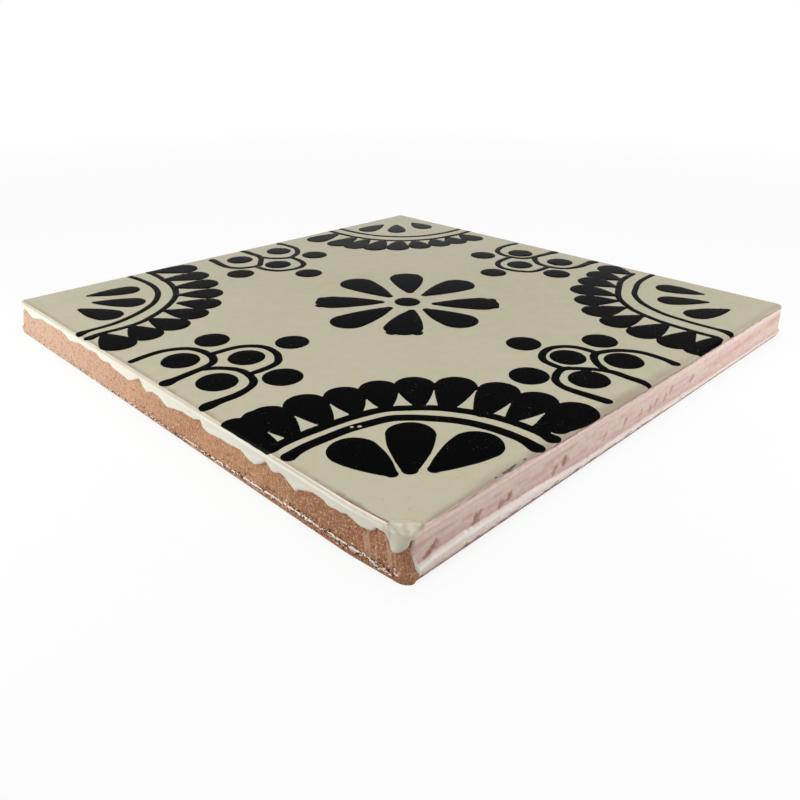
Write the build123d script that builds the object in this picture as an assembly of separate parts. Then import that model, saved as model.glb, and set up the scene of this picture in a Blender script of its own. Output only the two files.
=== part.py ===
from build123d import *
from math import atan2, degrees
import os

# A square talavera wall tile: red clay pressed and cut to size, glazed over its face and fired as one piece.
# The tile lies on its back. +Z is up, out of the glazed face, and the origin is the middle of the back.
# -X is the wall where glaze ran down over bare clay, and -Y is the wall that is glazed down to its foot.
# The two walls meet at the front corner, where a thick drop of glaze hangs over the edge.

# Driving dimensions, in millimetres
side = 105.0               # across the tile, at the widest line of its walls
thickness = 6.2            # from the back to the glazed face
foot_height = 1.1          # height of the widest line above the back
foot_draw = 0.3            # how far the foot draws in below the widest line
ledge_height = 0.4         # height of the short slope above the widest line
ledge_step = 0.35          # how far that slope steps in to the clay wall
wall_lean = 0.75           # how far the clay wall leans in between the ledge and the face
corner_radius = 1.8        # the upright corners, at the widest line
worn_length = 9.3          # how far from the front corner the -X wall is worn back along a slant
worn_depth = 0.68          # and how deep, at the corner itself
bend_radius = 40.0         # the soft bend where the slant begins
arris_radius = 0.7         # rolled edge of the glaze round the face
back_radius = 0.2          # worn edge round the back
glaze_at_face = 0.5        # how far the glaze stands out from the clay wall up at the face
glaze_at_ledge = 0.05      # and down at the ledge, where it has run out thin
skirt_height = 5.15        # height that the glaze comes down to between its runs
skirt_depth = 5.0          # how far in from a wall the skirt and its runs are taken round a corner
run_tip_radius = 0.5       # round tip of each run
run_hollow_radius = 0.3    # round hollow between two runs
rim_radius = 0.12          # rounded rim where the runs and the skirt end on the clay

half = side / 2
wall_foot = foot_height + ledge_height
clay_foot = half - ledge_step
clay_head = clay_foot - wall_lean
overhang = 1.0             # how far a cutting shape stands out past the tile
near = 0.01                # two heights or places closer than this are the same

# Runs of glaze on each dripping wall: place along the wall, height of the tip, width at the skirt.
# A wall is looked at from outside, and the place is counted to the right of its middle.
left_runs = [
    (-45.5, 4.2, 6.0), (-35.0, 4.9, 3.6), (-29.2, 4.4, 3.6), (-22.0, 4.8, 4.4),
    (-16.1, 4.5, 3.4), (-7.7, 4.0, 7.0), (-2.1, 4.1, 3.2), (3.8, 3.7, 5.4),
    (10.6, 4.4, 3.4), (15.2, 3.9, 4.2), (19.4, 4.2, 3.6), (25.2, 3.7, 4.8),
    (29.6, 4.2, 2.4), (33.7, 3.6, 4.2), (39.9, 4.4, 3.6), (45.2, 4.5, 3.4),
]
back_runs = [
    (-43.0, 4.4, 5.0), (-30.0, 4.7, 4.0), (-19.0, 4.1, 5.0), (-4.0, 4.6, 4.4),
    (12.0, 4.3, 4.8), (27.0, 4.6, 4.0), (41.0, 4.2, 5.0),
]
right_runs = [
    (-40.0, 4.6, 4.2), (-26.0, 4.2, 4.8), (-9.0, 4.7, 4.0), (7.0, 4.4, 5.0),
    (22.0, 4.1, 4.4), (37.0, 4.5, 4.6),
]

# The glazed -Y wall stops short of the front corner along a slanting line. These are its ends along X.
front_start_head = -50.9
front_start_foot = -50.0

# The bead where glaze gathered along the foot of the -Y wall, tallest near the front corner.
# Each section has its place along X, the heights of its underside and top, and the radius of its round edges.
bead_sections = [(-49.8, 0.55, 2.5, 0.34), (-14.0, 0.5, 1.7, 0.26), (50.9, 0.5, 1.62, 0.22)]
bead_depth = 1.0           # from the widest line inwards, most of it sunk in the wall
bead_end_radius = 0.2      # rounding of its front end

# The drop of glaze over the front corner: a round shoulder on the face, and a tongue down the corner
shoulder_axis = (-49.95, -50.05)
shoulder_radius = 2.4
shoulder_low = 4.3         # height of its underside
shoulder_rise = 0.55       # how far it stands above the face
shoulder_rounding = 1.1
tongue_root = (-50.1, -50.0, 5.0)
tongue_root_radius = 2.0
tongue_tip = (-50.9, -50.0, 4.2)
tongue_tip_radius = 0.9


def outline(half_width):
    """The square seen from above, worn back along a slant next to its front corner."""
    inset = half - half_width
    plan = make_face(Polyline(
        (-half, worn_length - half), (worn_depth - half, -half), (half, -half), (half, half), (-half, half),
        close=True))
    if inset > 0:
        plan = offset(plan, amount=-inset, kind=Kind.INTERSECTION)
    corners = plan.vertices().filter_by(lambda corner: abs(corner.Y) > half_width - near)
    plan = fillet(corners, corner_radius - inset)
    bend = plan.vertices().sort_by_distance((-half_width, worn_length - half))[0]
    return fillet(bend, bend_radius - inset)


def stacked(profile):
    """A block whose walls go through the given heights and half widths."""
    block = Part()
    for (low, low_half), (high, high_half) in zip(profile, profile[1:]):
        lean = degrees(atan2(low_half - high_half, high - low))
        block += extrude(Pos(0, 0, low) * outline(low_half), amount=high - low, taper=lean)
    return block


def wall_plane(outward):
    """A plane just outside a wall, looked at from outside, with its X to the right and its Y up."""
    return Plane(origin=outward * (half + overhang), x_dir=Vector(0, 0, 1).cross(outward), z_dir=outward)


def run_outline(place, tip, width):
    """One run of glaze: a tongue that narrows from the skirt to a round tip."""
    shoulder_line = Line((place - width / 2, skirt_height), (place + width / 2, skirt_height))
    end = Pos(place, tip + run_tip_radius) * CenterArc((0, 0), run_tip_radius, 180, 180)
    return make_hull([shoulder_line, end])


def skirt_and_runs(outward, runs):
    """The part of a wall that the glaze covers, as a solid slice from the wall inwards."""
    skirt = Rectangle(side + 2 * overhang, thickness - skirt_height)
    covered = Sketch() + [Pos(0, (skirt_height + thickness) / 2) * skirt]
    covered += [run_outline(*each) for each in runs]
    hollows = covered.vertices().filter_by(lambda v: abs(v.Y - skirt_height) < near and abs(v.X) < half)
    covered = fillet(hollows, run_hollow_radius)
    return extrude(wall_plane(outward) * covered, amount=-skirt_depth - overhang)


def full_wall():
    """The part of the -Y wall that the glaze covers, down to the ledge and clear of the front corner."""
    edges = Polyline(
        (front_start_foot, wall_foot), (half + overhang, wall_foot), (half + overhang, thickness),
        (front_start_head, thickness), close=True)
    return extrude(wall_plane(Vector(0, -1, 0)) * make_face(edges), amount=-skirt_depth - overhang)


def faces_outward(face):
    """Whether a face looks away from the middle of the tile, as the outside of the glaze does."""
    place = face.center()
    if abs(place.X) > abs(place.Y):
        outward = Vector(place.X, 0, 0)
    else:
        outward = Vector(0, place.Y, 0)
    return face.normal_at().dot(outward.normalized()) > 0.6


def rim_of(glaze):
    """The edges where the outside of the glaze ends on the clay, along the skirt and round each run."""
    outside = glaze.faces().filter_by(faces_outward)
    rim = ShapeList()
    for edge in glaze.edges():
        owners = [face for face in outside if any(edge.is_same(other) for other in face.edges())]
        extent = edge.bounding_box()
        if len(owners) == 1 and wall_foot + near < extent.min.Z and extent.max.Z < skirt_height + near:
            rim.append(edge)
    return rim


def bead_section(place, low, high, radius):
    """The bead cut across: a bar with round edges whose outer face is at the widest line."""
    middle = (place, bead_depth / 2 - half, (low + high) / 2)
    across = Plane(origin=middle, x_dir=(0, 1, 0), z_dir=(1, 0, 0))
    return across * RectangleRounded(bead_depth, high - low, radius)


def corner_drop():
    """A turned shoulder with rounded rims, and a leaning tongue that narrows to a round tip."""
    top = thickness + shoulder_rise
    section = make_face(Polyline(
        (0, shoulder_low), (shoulder_radius, shoulder_low), (shoulder_radius, top), (0, top), close=True))
    section = fillet(section.vertices().group_by(Axis.X)[-1], shoulder_rounding)
    shoulder = Pos(*shoulder_axis) * revolve(Plane.XZ * section, Axis.Z)
    root = Pos(*tongue_root) * Circle(tongue_root_radius)
    tip = Pos(*tongue_tip) * Circle(tongue_tip_radius)
    return shoulder + loft([root, tip]) + Pos(*tongue_tip) * Sphere(tongue_tip_radius)


clay = stacked([
    (0, half - foot_draw), (foot_height, half), (wall_foot, clay_foot),
    (thickness - arris_radius, clay_head)])
clay = fillet(clay.faces().sort_by(Axis.Z)[0].edges(), back_radius)

# The glaze would stand this far out if it covered every wall. Its edge round the face is rolled.
envelope = stacked([(wall_foot, clay_foot + glaze_at_ledge), (thickness, clay_head + glaze_at_face)])
envelope = fillet(envelope.faces().sort_by(Axis.Z)[-1].edges(), arris_radius)

cap = Box(side + 2 * overhang, side + 2 * overhang, thickness - skirt_height)
cover = Pos(0, 0, (skirt_height + thickness) / 2) * cap
cover += skirt_and_runs(Vector(-1, 0, 0), left_runs)
cover += skirt_and_runs(Vector(0, 1, 0), back_runs)
cover += skirt_and_runs(Vector(1, 0, 0), right_runs)
cover += full_wall()
coat = envelope & cover
coat = fillet(rim_of(coat), rim_radius)

bead = loft([bead_section(*each) for each in bead_sections], ruled=True)
bead = fillet(bead.faces().sort_by(Axis.X)[0].edges(), bead_end_radius)

tile = clay + coat + bead + corner_drop()
tile = tile.clean()
tile.label = "tile"

os.makedirs("parts", exist_ok=True)
export_step(tile, "parts/tile.step")
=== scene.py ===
from itertools import product
from math import acos, atan2, cos, pi, radians, sin, tan

import bmesh
import bpy
import numpy as np
from mathutils import Matrix, Vector
from mathutils.geometry import delaunay_2d_cdt


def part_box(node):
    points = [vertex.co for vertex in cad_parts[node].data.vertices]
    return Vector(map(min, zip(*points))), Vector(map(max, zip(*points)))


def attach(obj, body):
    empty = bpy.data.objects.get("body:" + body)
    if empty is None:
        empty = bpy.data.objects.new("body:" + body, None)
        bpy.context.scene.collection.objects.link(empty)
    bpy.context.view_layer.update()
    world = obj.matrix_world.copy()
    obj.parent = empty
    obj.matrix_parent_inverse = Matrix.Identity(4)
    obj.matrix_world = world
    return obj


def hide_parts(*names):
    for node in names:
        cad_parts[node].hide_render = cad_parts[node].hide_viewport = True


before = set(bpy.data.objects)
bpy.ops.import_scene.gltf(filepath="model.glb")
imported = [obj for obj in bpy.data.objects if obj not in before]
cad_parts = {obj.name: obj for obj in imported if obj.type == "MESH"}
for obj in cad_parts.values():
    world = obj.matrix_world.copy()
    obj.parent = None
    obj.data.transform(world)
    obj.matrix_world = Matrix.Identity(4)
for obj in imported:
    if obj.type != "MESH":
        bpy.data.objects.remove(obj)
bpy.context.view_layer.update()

bl_info = {
    "name": "Talavera Tile",
    "version": (1, 0, 0),
    "blender": (4, 5, 0),
    "location": "3D View > Sidebar > Tile",
    "description": "Glazed and painted wall tile of red clay, built round its packed frame",
    "category": "Add Mesh",
}

# Lengths below are in millimetres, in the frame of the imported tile. +Z points out of the face. -X is the wall
# where glaze ran down over bare clay, and -Y is the wall that is glazed down to its foot. They meet at the
# front corner.
MM = 0.001
TILE_LOW, TILE_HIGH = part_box("tile")
HALF = (TILE_HIGH.x - TILE_LOW.x) / MM / 2

# Section of a wall. Distances out are counted from the widest line, just above the foot.
DROP_RISE = 0.55           # how far the corner drop stands above the face
FACE = (TILE_HIGH.z - TILE_LOW.z) / MM - DROP_RISE
ARRIS = 0.7                # radius of the glaze where it rolls over the edge of the face
ARRIS_FOOT = FACE - ARRIS
ARRIS_RUN = ARRIS * pi / 2
FOOT = 1.1                 # height of the widest line
LEDGE = 1.5                # height where the clay wall starts
LEDGE_STEP = 0.35          # how far the ledge steps in, and how far the wall above it leans in
WALL_LEAN = 0.75
FOOT_DRAW = 0.3            # how far the foot draws in to the back, and the same on the dripping wall
FOOT_DRAW_LEFT = 0.05
BACK_RADIUS = 0.2          # worn edge round the back
HEAD_OUT = -0.6            # how far out the glaze is at the foot of the arris, and its slope down the wall
GLAZE_SLOPE = 0.064
FLAT_OUT = HEAD_OUT - ARRIS
FLAT = HALF + FLAT_OUT     # half width of the flat of the face
CLAY_UNDER_GLAZE = 0.1     # how far the clay stands back where the wall glaze covers it

# The widest line seen from above: its corners and their radii, from the soft bend beside the front corner on
WORN_LENGTH = 9.3          # how far from the front corner the -X wall is worn back, and how deep
WORN_DEPTH = 0.68
BEND_RADIUS = 40.0
CORNER_RADIUS = 1.8
CORNERS = [
    (-HALF, WORN_LENGTH - HALF, BEND_RADIUS), (WORN_DEPTH - HALF, -HALF, CORNER_RADIUS),
    (HALF, -HALF, CORNER_RADIUS), (HALF, HALF, CORNER_RADIUS), (-HALF, HALF, CORNER_RADIUS),
]
CORNER_MIDDLE = 1.4        # from the start of a corner's arc to its middle
CORNER_REACH = 2.5         # points are close together this far to both sides of it
CORNER_STEP = 0.22
NOSE_REACH = (7, 14)       # and closest this near to the nose of the front corner, less so further out


def linear(hex_colour):
    """An sRGB hex value as linear red, green, blue and alpha."""
    values = [int(hex_colour[i:i + 2], 16) / 255 for i in (1, 3, 5)]
    return tuple(v / 12.92 if v <= 0.04045 else ((v + 0.055) / 1.055) ** 2.4 for v in values) + (1.0,)


# Smooth random values

HASH_SPREAD = np.uint64(0x9E3779B97F4A7C15)    # an odd number that scatters the bits of neighbouring cells
SEED_STEP, SEED_START = 7919, 17               # two primes that keep the seeds apart


def hashed(cells, seed):
    """A repeatable value from -1 to 1 for each lattice cell, given as whole numbers along the last axis."""
    bits = np.full(cells.shape[:-1], seed * SEED_STEP + SEED_START, np.uint64)
    for axis in range(cells.shape[-1]):
        bits = (bits ^ cells[..., axis].astype(np.int64).astype(np.uint64)) * HASH_SPREAD
        bits ^= bits >> np.uint64(29)
    return (bits >> np.uint64(40)).astype(float) / 2 ** 23 - 1


def smooth_noise(places, seed):
    """Smooth values from -1 to 1 at places given in lattice cells along the last axis."""
    floor = np.floor(places)
    blend = places - floor
    blend = blend * blend * (3 - 2 * blend)
    total = np.zeros(places.shape[:-1])
    for corner in product((0, 1), repeat=places.shape[-1]):
        weight = np.prod(np.where(np.array(corner) == 1, blend, 1 - blend), axis=-1)
        total += weight * hashed(floor + np.array(corner), seed)
    return total


def noise_over(along, up, size, seed):
    """Smooth noise over a wall, with patches of one size along it and of another up it."""
    return smooth_noise(np.stack(np.broadcast_arrays(along / size[0], up / size[1]), -1), seed)


def noise_along(places, size, seed):
    """Smooth noise along a line, with waves of a size."""
    return noise_over(places, 0, (size, 1), seed)


def smoothstep(low, high, values):
    """0 below low, 1 above high, and a soft step between. High may be the smaller one."""
    share = np.clip((values - low) / (high - low), 0, 1)
    return share * share * (3 - 2 * share)


def band(values, middle, width):
    """1 at a middle value, and falling softly to both sides of it."""
    return np.exp(-((values - middle) / width) ** 2)


def round_rim(distance, radius):
    """A quarter round: 0 at an edge, and 1 from a radius inwards."""
    share = np.clip(distance / radius, 0, 1)
    return np.sqrt(1 - (1 - share) ** 2)


def smooth_min(first, second, blend):
    """The smaller of two fields, with the crease between them filled over the width blend."""
    close = np.clip(blend - np.abs(first - second), 0, None) / blend
    return np.minimum(first, second) - close * close * blend / 4


def read_table(table, places, column=1):
    """A column of a table at places between its rows, whose first value is the place."""
    return np.interp(places, [row[0] for row in table], [row[column] for row in table])


# The wall line

class WallLine:
    """The widest line of the walls: straight stretches joined by round corners.

    A place on it is the distance along it, counter-clockwise from the bend beside the front corner.
    """

    def __init__(self, corners):
        points = [np.array(corner[:2]) for corner in corners]
        arcs = []
        for i, (point, corner) in enumerate(zip(points, corners)):
            before = point - points[i - 1]
            after = points[(i + 1) % len(points)] - point
            before /= np.linalg.norm(before)
            after /= np.linalg.norm(after)
            turn = acos(before @ after)
            cut = corner[2] * tan(turn / 2)
            inward = np.array([-before[1], before[0]])
            centre = point - before * cut + inward * corner[2]
            arcs.append((centre, corner[2], atan2(-inward[1], -inward[0]), turn, point + after * cut, after))
        self.stretches = []
        self.length = 0.0
        for i, (centre, radius, first, turn, leave, along) in enumerate(arcs):
            self.stretches.append((self.length, "arc", (centre, radius, first)))
            self.length += radius * turn
            self.stretches.append((self.length, "line", (leave, along)))
            following = arcs[(i + 1) % len(arcs)]
            arrive = following[0] + following[1] * np.array([cos(following[2]), sin(following[2])])
            self.length += np.linalg.norm(arrive - leave)
        starts = [start for start, _, _ in self.stretches]
        self.nose = (starts[2] + starts[3]) / 2
        self.front_end, self.right_start = starts[4:6]
        self.back_end, self.left_start = starts[8:10]
        self.hidden_corners = [starts[i] + CORNER_MIDDLE for i in (4, 6, 8)]

    def at(self, places):
        """The points at places on the line, and the outward direction at each."""
        places = np.mod(places, self.length)
        base = np.zeros(places.shape + (2,))
        outward = np.zeros(places.shape + (2,))
        ends = [start for start, _, _ in self.stretches[1:]] + [self.length + 1]
        for (start, kind, data), end in zip(self.stretches, ends):
            on = (places >= start) & (places < end)
            if kind == "arc":
                angle = data[2] + (places[on] - start) / data[1]
                outward[on] = np.stack([np.cos(angle), np.sin(angle)], -1)
                base[on] = data[0] + data[1] * outward[on]
            else:
                base[on] = data[0] + data[1] * (places[on] - start)[:, None]
                outward[on] = (data[1][1], -data[1][0])
        return base, outward

    def front(self, x):
        """The place of an x on the -Y wall."""
        start, _, (leave, _) = self.stretches[3]
        return start + np.asarray(x) - leave[0]

    def left(self, y):
        """The place of a y on the straight part of the -X wall."""
        start, _, (leave, _) = self.stretches[9]
        return start + leave[1] - np.asarray(y)

    def columns(self, near_nose, on_seen_walls, elsewhere):
        """Places round the whole line, spaced closely where the object is seen closely."""
        found = [0.0]
        while found[-1] < self.length:
            place = found[-1]
            from_nose = min(abs(place - self.nose), abs(place - self.nose - self.length))
            seen = place < self.front_end + 3 or place > self.left_start - 3
            step = on_seen_walls if seen else elsewhere
            if any(abs(place - corner) < CORNER_REACH for corner in self.hidden_corners):
                step = min(step, CORNER_STEP)
            found.append(place + np.interp(from_nose, NOSE_REACH, [near_nose, step]))
        found = np.array(found)
        return found[:-1] * self.length / found[-1]


LINE = WallLine(CORNERS)


def stretch_share(places, first, last, soft):
    """1 on the line between two places, 0 elsewhere, with soft ends. Places may run past the line's start."""
    middle = (first + last) / 2
    away = np.abs(np.mod(places - middle + LINE.length / 2, LINE.length) - LINE.length / 2)
    return smoothstep((last - first) / 2 + soft, (last - first) / 2, away)


def left_share(places):
    """1 on the dripping -X wall and round the nose of the front corner."""
    return stretch_share(places, LINE.left(HALF), LINE.length + LINE.nose + 0.6, 0.8)


def front_share(places):
    """1 on the glazed -Y wall, from the nose of the front corner to just past the right one."""
    return stretch_share(places, LINE.nose + 1.0, LINE.right_start + 0.8, 0.8)


def clay_out(heights, places):
    """How far the clay stands out from the widest line, at heights along the walls."""
    draw = FOOT_DRAW + (FOOT_DRAW_LEFT - FOOT_DRAW) * left_share(places)
    foot = -draw * (1 - heights / FOOT)
    wall = np.interp(heights, [FOOT, LEDGE, ARRIS_FOOT], [0, -LEDGE_STEP, -LEDGE_STEP - WALL_LEAN])
    return np.where(heights < FOOT, foot, wall) - CLAY_UNDER_GLAZE * front_share(places)


def glaze_out(heights):
    """How far the glaze would stand out if it covered the whole wall."""
    return HEAD_OUT + GLAZE_SLOPE * (ARRIS_FOOT - heights)


def face_swell(x, y):
    """The soft swells of the glaze over the flat of the face, wide and less wide ones, gone at its edges."""
    swell = 0.6 * noise_over(x, y, (17, 17), 3) + 0.4 * noise_over(x, y, (6.5, 6.5), 4)
    inside = FLAT - np.maximum(np.abs(x), np.abs(y))
    return swell * smoothstep(0, 3, inside)


# Mesh making

UNEVENNESS = 0.2           # how far a grid's points stray, as a share of its spacing
MERGE_DISTANCE = 1e-7      # points closer than this become one


def ring_faces(first, second, count, closed=True):
    """Quads between two rows of points, given by the number of each row's first point."""
    last = count if closed else count - 1
    return [(first + i, first + (i + 1) % count, second + (i + 1) % count, second + i) for i in range(last)]


def triangulated(points, loops):
    """Triangles over points in a plane, with closed loops of point numbers kept as edges.

    Returns the places, which may hold new ones where loops cross, the triangles and each place's old number.
    """
    edges = [(int(a), int(b)) for loop in loops for a, b in zip(loop, np.roll(loop, -1))]
    made = delaunay_2d_cdt([Vector(point) for point in points.tolist()], edges, [], 0, MERGE_DISTANCE)
    origins = [old[0] if old else -1 for old in made[3]]
    return np.array([place[:] for place in made[0]]), np.array(made[2]), np.array(origins)


def counter_clockwise(a, b, c):
    """Positive for triangles that run counter-clockwise seen from above, and negative for the others."""
    return (b[:, 0] - a[:, 0]) * (c[:, 1] - a[:, 1]) - (b[:, 1] - a[:, 1]) * (c[:, 0] - a[:, 0])


def grid_inside(half, spacing, seed):
    """Points on a slightly uneven square grid, out to a half width."""
    steps = np.arange(-half, half + spacing / 2, spacing)
    places = np.stack(np.meshgrid(steps, steps), -1).reshape(-1, 2)
    cells = np.round(places / spacing)
    shift = np.stack([hashed(cells, seed), hashed(cells, seed + 1)], -1)
    return places + UNEVENNESS * spacing * shift


def cap(loop, inner_points, loop_start, inner_start, upward):
    """Triangles that close a loop seen from above, over points inside it, with their numbers in the mesh."""
    together = np.vstack([loop, inner_points])
    numbers = np.concatenate([loop_start + np.arange(len(loop)), inner_start + np.arange(len(inner_points))])
    _, triangles, origins = triangulated(together, [np.arange(len(loop))])
    turn = counter_clockwise(*(together[origins[triangles[:, i]]] for i in range(3)))
    triangles = numbers[origins[triangles]]
    wrong = (turn < 0) == upward
    triangles[wrong] = triangles[wrong][:, ::-1]
    return [tuple(triangle) for triangle in triangles.tolist()]


def add_piece(name, points, faces, material, attributes=None, sharp=50):
    """A piece of the tile from points in millimetres, riding on the tile's one body."""
    mesh = bpy.data.meshes.new(name)
    mesh.from_pydata((np.asarray(points) * MM).tolist(), [], faces)
    for key, values in (attributes or {}).items():
        mesh.attributes.new(key, "FLOAT", "POINT").data.foreach_set("value", values.astype(np.float32))
    mesh.materials.append(material)
    mesh.shade_smooth()
    mesh.set_sharp_from_angle(angle=radians(sharp))
    piece = bpy.data.objects.new(name, mesh)
    bpy.context.scene.collection.objects.link(piece)
    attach(piece, "root")
    return piece


# Sizes and colours

class TileSizes(bpy.types.PropertyGroup):
    """Sizes of the finish that a user would change."""

    swell_height: bpy.props.FloatProperty(
        name="Face swell", description="Height of the soft swells of the glaze on the face",
        default=0.02 * MM, min=0, unit="LENGTH", precision=6)
    film_height: bpy.props.FloatProperty(
        name="Paint height", description="How far the painted glaze stands above the cream glaze",
        default=0.05 * MM, min=0, unit="LENGTH", precision=6)
    film_rim: bpy.props.FloatProperty(
        name="Paint rim", description="Width of the rounded rim of the painted glaze",
        default=0.16 * MM, min=0, unit="LENGTH", precision=6)
    hand_wobble: bpy.props.FloatProperty(
        name="Hand wobble", description="How far the painted outlines stray from their drawn places",
        default=0.05 * MM, min=0, unit="LENGTH", precision=6)
    clay_grain: bpy.props.FloatProperty(
        name="Clay grain", description="Depth of the sandy grain of the bare clay",
        default=0.045 * MM, min=0, unit="LENGTH", precision=6)


class TileColours(bpy.types.PropertyGroup):
    """Colours of the glazes and the clay."""

    cream: bpy.props.FloatVectorProperty(
        name="Cream glaze", description="Tin glaze of the face", subtype="COLOR", size=4,
        default=linear("#C4BEA6"), min=0, max=1)
    run: bpy.props.FloatVectorProperty(
        name="Glaze runs", description="The same glaze where it gathered thick and pale on the walls",
        subtype="COLOR", size=4, default=linear("#E2DECE"), min=0, max=1)
    thin_glaze: bpy.props.FloatVectorProperty(
        name="Thin edge", description="Where the cream glaze thins out over the clay",
        subtype="COLOR", size=4, default=linear("#9E887B"), min=0, max=1)
    black: bpy.props.FloatVectorProperty(
        name="Black paint", description="Painted glaze of the ornament", subtype="COLOR", size=4,
        default=linear("#050506"), min=0, max=1)
    pink: bpy.props.FloatVectorProperty(
        name="Wall glaze", description="Thin glaze that the clay shows through", subtype="COLOR", size=4,
        default=linear("#D8BDB2"), min=0, max=1)
    fleck: bpy.props.FloatVectorProperty(
        name="Flecks", description="Red clay that shows in scrapes of the wall glaze",
        subtype="COLOR", size=4, default=linear("#98604F"), min=0, max=1)
    bead: bpy.props.FloatVectorProperty(
        name="Bead", description="Whitish glaze that gathered along the foot of the wall", subtype="COLOR",
        size=4, default=linear("#E9D5C7"), min=0, max=1)
    clay: bpy.props.FloatVectorProperty(
        name="Clay", description="Fired red clay", subtype="COLOR", size=4, default=linear("#C4946F"),
        min=0, max=1)


# Materials

# The sockets of a Mix node that blend and give colours
MIX_FROM, MIX_TO, MIX_RESULT = 6, 7, 2


def add_node(owner, kind, inputs=None, **settings):
    """Adds a node to a material or a world. Inputs are values, or the sockets that feed them."""
    tree = owner.node_tree
    node = tree.nodes.new(kind)
    for key, value in settings.items():
        setattr(node, key, value)
    for key, value in (inputs or {}).items():
        if isinstance(value, bpy.types.NodeSocket):
            tree.links.new(value, node.inputs[key])
        else:
            node.inputs[key].default_value = value
    return node


def new_material(name):
    """An empty material, and the socket of its own place in metres."""
    material = bpy.data.materials.new(name)
    material.use_nodes = True
    material.node_tree.nodes.clear()
    return material, add_node(material, "ShaderNodeTexCoord").outputs["Object"]


def noise_share(material, place, size, low, high, detail=2.0):
    """Noise with patches of a size in millimetres, turned to a share from 0 at low to 1 at high."""
    noise = add_node(material, "ShaderNodeTexNoise", {
        "Vector": place, "Scale": 1 / (size * MM), "Detail": detail})
    ramp = add_node(material, "ShaderNodeMapRange", {
        "Value": noise.outputs["Fac"], "From Min": low, "From Max": high}, interpolation_type="SMOOTHSTEP")
    return ramp.outputs["Result"]


def patched(material, place, colour, patch, share, size, low, high, detail=2.0):
    """A colour with patches of another, given as hex. The share is how strong the fullest of them are."""
    patches = noise_share(material, place, size, low, high, detail)
    amount = add_node(material, "ShaderNodeMath", {0: patches, 1: share}, operation="MULTIPLY").outputs[0]
    mix = add_node(material, "ShaderNodeMix", {
        0: amount, MIX_FROM: colour, MIX_TO: linear(patch)}, data_type="RGBA")
    return mix.outputs[MIX_RESULT]


def marked(material, colour, marks):
    """A colour turned to others where values stored on the mesh say so. The last mark lies on top."""
    for name, mark in marks:
        share = add_node(material, "ShaderNodeAttribute", attribute_name=name).outputs["Fac"]
        mix = add_node(material, "ShaderNodeMix", {
            0: share, MIX_FROM: colour, MIX_TO: mark}, data_type="RGBA")
        colour = mix.outputs[MIX_RESULT]
    return colour


def surface(material, colour, roughness, bump_height=None, bump_depth=0.0, **values):
    """The shader and the output, with an optional bump whose depth is in millimetres."""
    inputs = {"Base Color": colour, "Roughness": roughness, **values}
    if bump_height is not None:
        bump = add_node(material, "ShaderNodeBump", {"Height": bump_height, "Distance": bump_depth * MM})
        inputs["Normal"] = bump.outputs["Normal"]
    shader = add_node(material, "ShaderNodeBsdfPrincipled", inputs)
    add_node(material, "ShaderNodeOutputMaterial", {"Surface": shader.outputs["BSDF"]})
    return material


GLAZE = {"IOR": 1.5, "Specular IOR Level": 0.5}
BLACK_GLAZE = {"IOR": 1.5, "Specular IOR Level": 0.06}
BARE_CLAY = {"IOR": 1.45, "Specular IOR Level": 0.2}


def cream_tin_glaze(colours):
    """Tin glaze poured over the face and fired: opaque cream with a satin gloss.

    It pools a little greener and darker, carries small pinholes and specks, and turns brown where it is thin.
    Over an arris it is pinkish white, partly its own tint and partly a painted highlight. Dark reddish lines
    run along the top of the arrises, and the crease behind the corner drop has painted shade.
    """
    material, place = new_material("cream_tin_glaze")
    pooled = patched(material, place, colours.cream, "#BDB996", 0.35, 14, 0.35, 0.7)
    mottled = patched(material, place, pooled, "#D6D2BC", 0.18, 2.2, 0.3, 0.8)
    yellow = patched(material, place, mottled, "#C3BE88", 0.3, 1.1, 0.58, 0.75)
    specked = patched(material, place, yellow, "#847F6B", 0.22, 0.5, 0.79, 0.83, detail=0)
    rosy = patched(material, place, colours.pink, "#C7A298", 0.5, 0.8, 0.4, 0.7)
    # The arris mark is pinkish white, partly the glaze's own tint and partly a painted highlight
    colour = marked(material, specked, (
        ("run", colours.run), ("arris", linear("#F6E4DA")), ("thin", colours.thin_glaze), ("pink", rosy),
        # Dark reddish lines along the arrises, and painted shade in the crease behind the corner drop
        ("dark_line_and_crease_shade", linear("#7D5F54"))))
    peel = noise_share(material, place, 0.9, 0, 1)
    return surface(material, colour, 0.24, peel, 0.012, **GLAZE)


def painted_black_glaze(colours):
    """Black painted glaze, melted in to the cream one: deep and glossy, with a few small light specks."""
    material, place = new_material("painted_black_glaze")
    speck_patches = noise_share(material, place, 5, 0.45, 0.65)
    seldom = add_node(material, "ShaderNodeMath", {0: speck_patches, 1: 0.5}, operation="MULTIPLY").outputs[0]
    grained = patched(material, place, colours.black, "#6E6D68", seldom, 0.22, 0.79, 0.84, detail=0)
    peel = noise_share(material, place, 0.7, 0, 1)
    return surface(material, grained, 0.2, peel, 0.01, **BLACK_GLAZE)


def thin_pink_glaze(colours):
    """A thin coat of glaze over red clay, fired: the clay shines through it pink, and red in its scrapes.

    Where it gathered along the foot it is whitish, with painted highlights and glints on top and painted shade
    below, and its ragged lower edge is brown. A band of painted highlight runs along the top of the wall.
    """
    material, place = new_material("thin_pink_glaze")
    cloud = patched(material, place, colours.pink, "#D2B4A9", 0.5, 5, 0.35, 0.7)
    rosy = patched(material, place, cloud, "#C4968D", 0.4, 1.3, 0.4, 0.7)
    pale = patched(material, place, rosy, "#EAD9CF", 0.3, 0.8, 0.5, 0.75)
    # The bead and white marks carry painted highlights, and the edge mark carries painted shade under the bead
    colour = marked(material, pale, (
        ("low", linear("#BD8E86")), ("streak", linear("#C98E74")), ("fleck", colours.fleck),
        ("bead", colours.bead), ("white", linear("#FAF6F0")), ("edge", linear("#6A4030"))))
    peel = noise_share(material, place, 0.5, 0, 1)
    return surface(material, colour, 0.27, peel, 0.03, **GLAZE)


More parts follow.
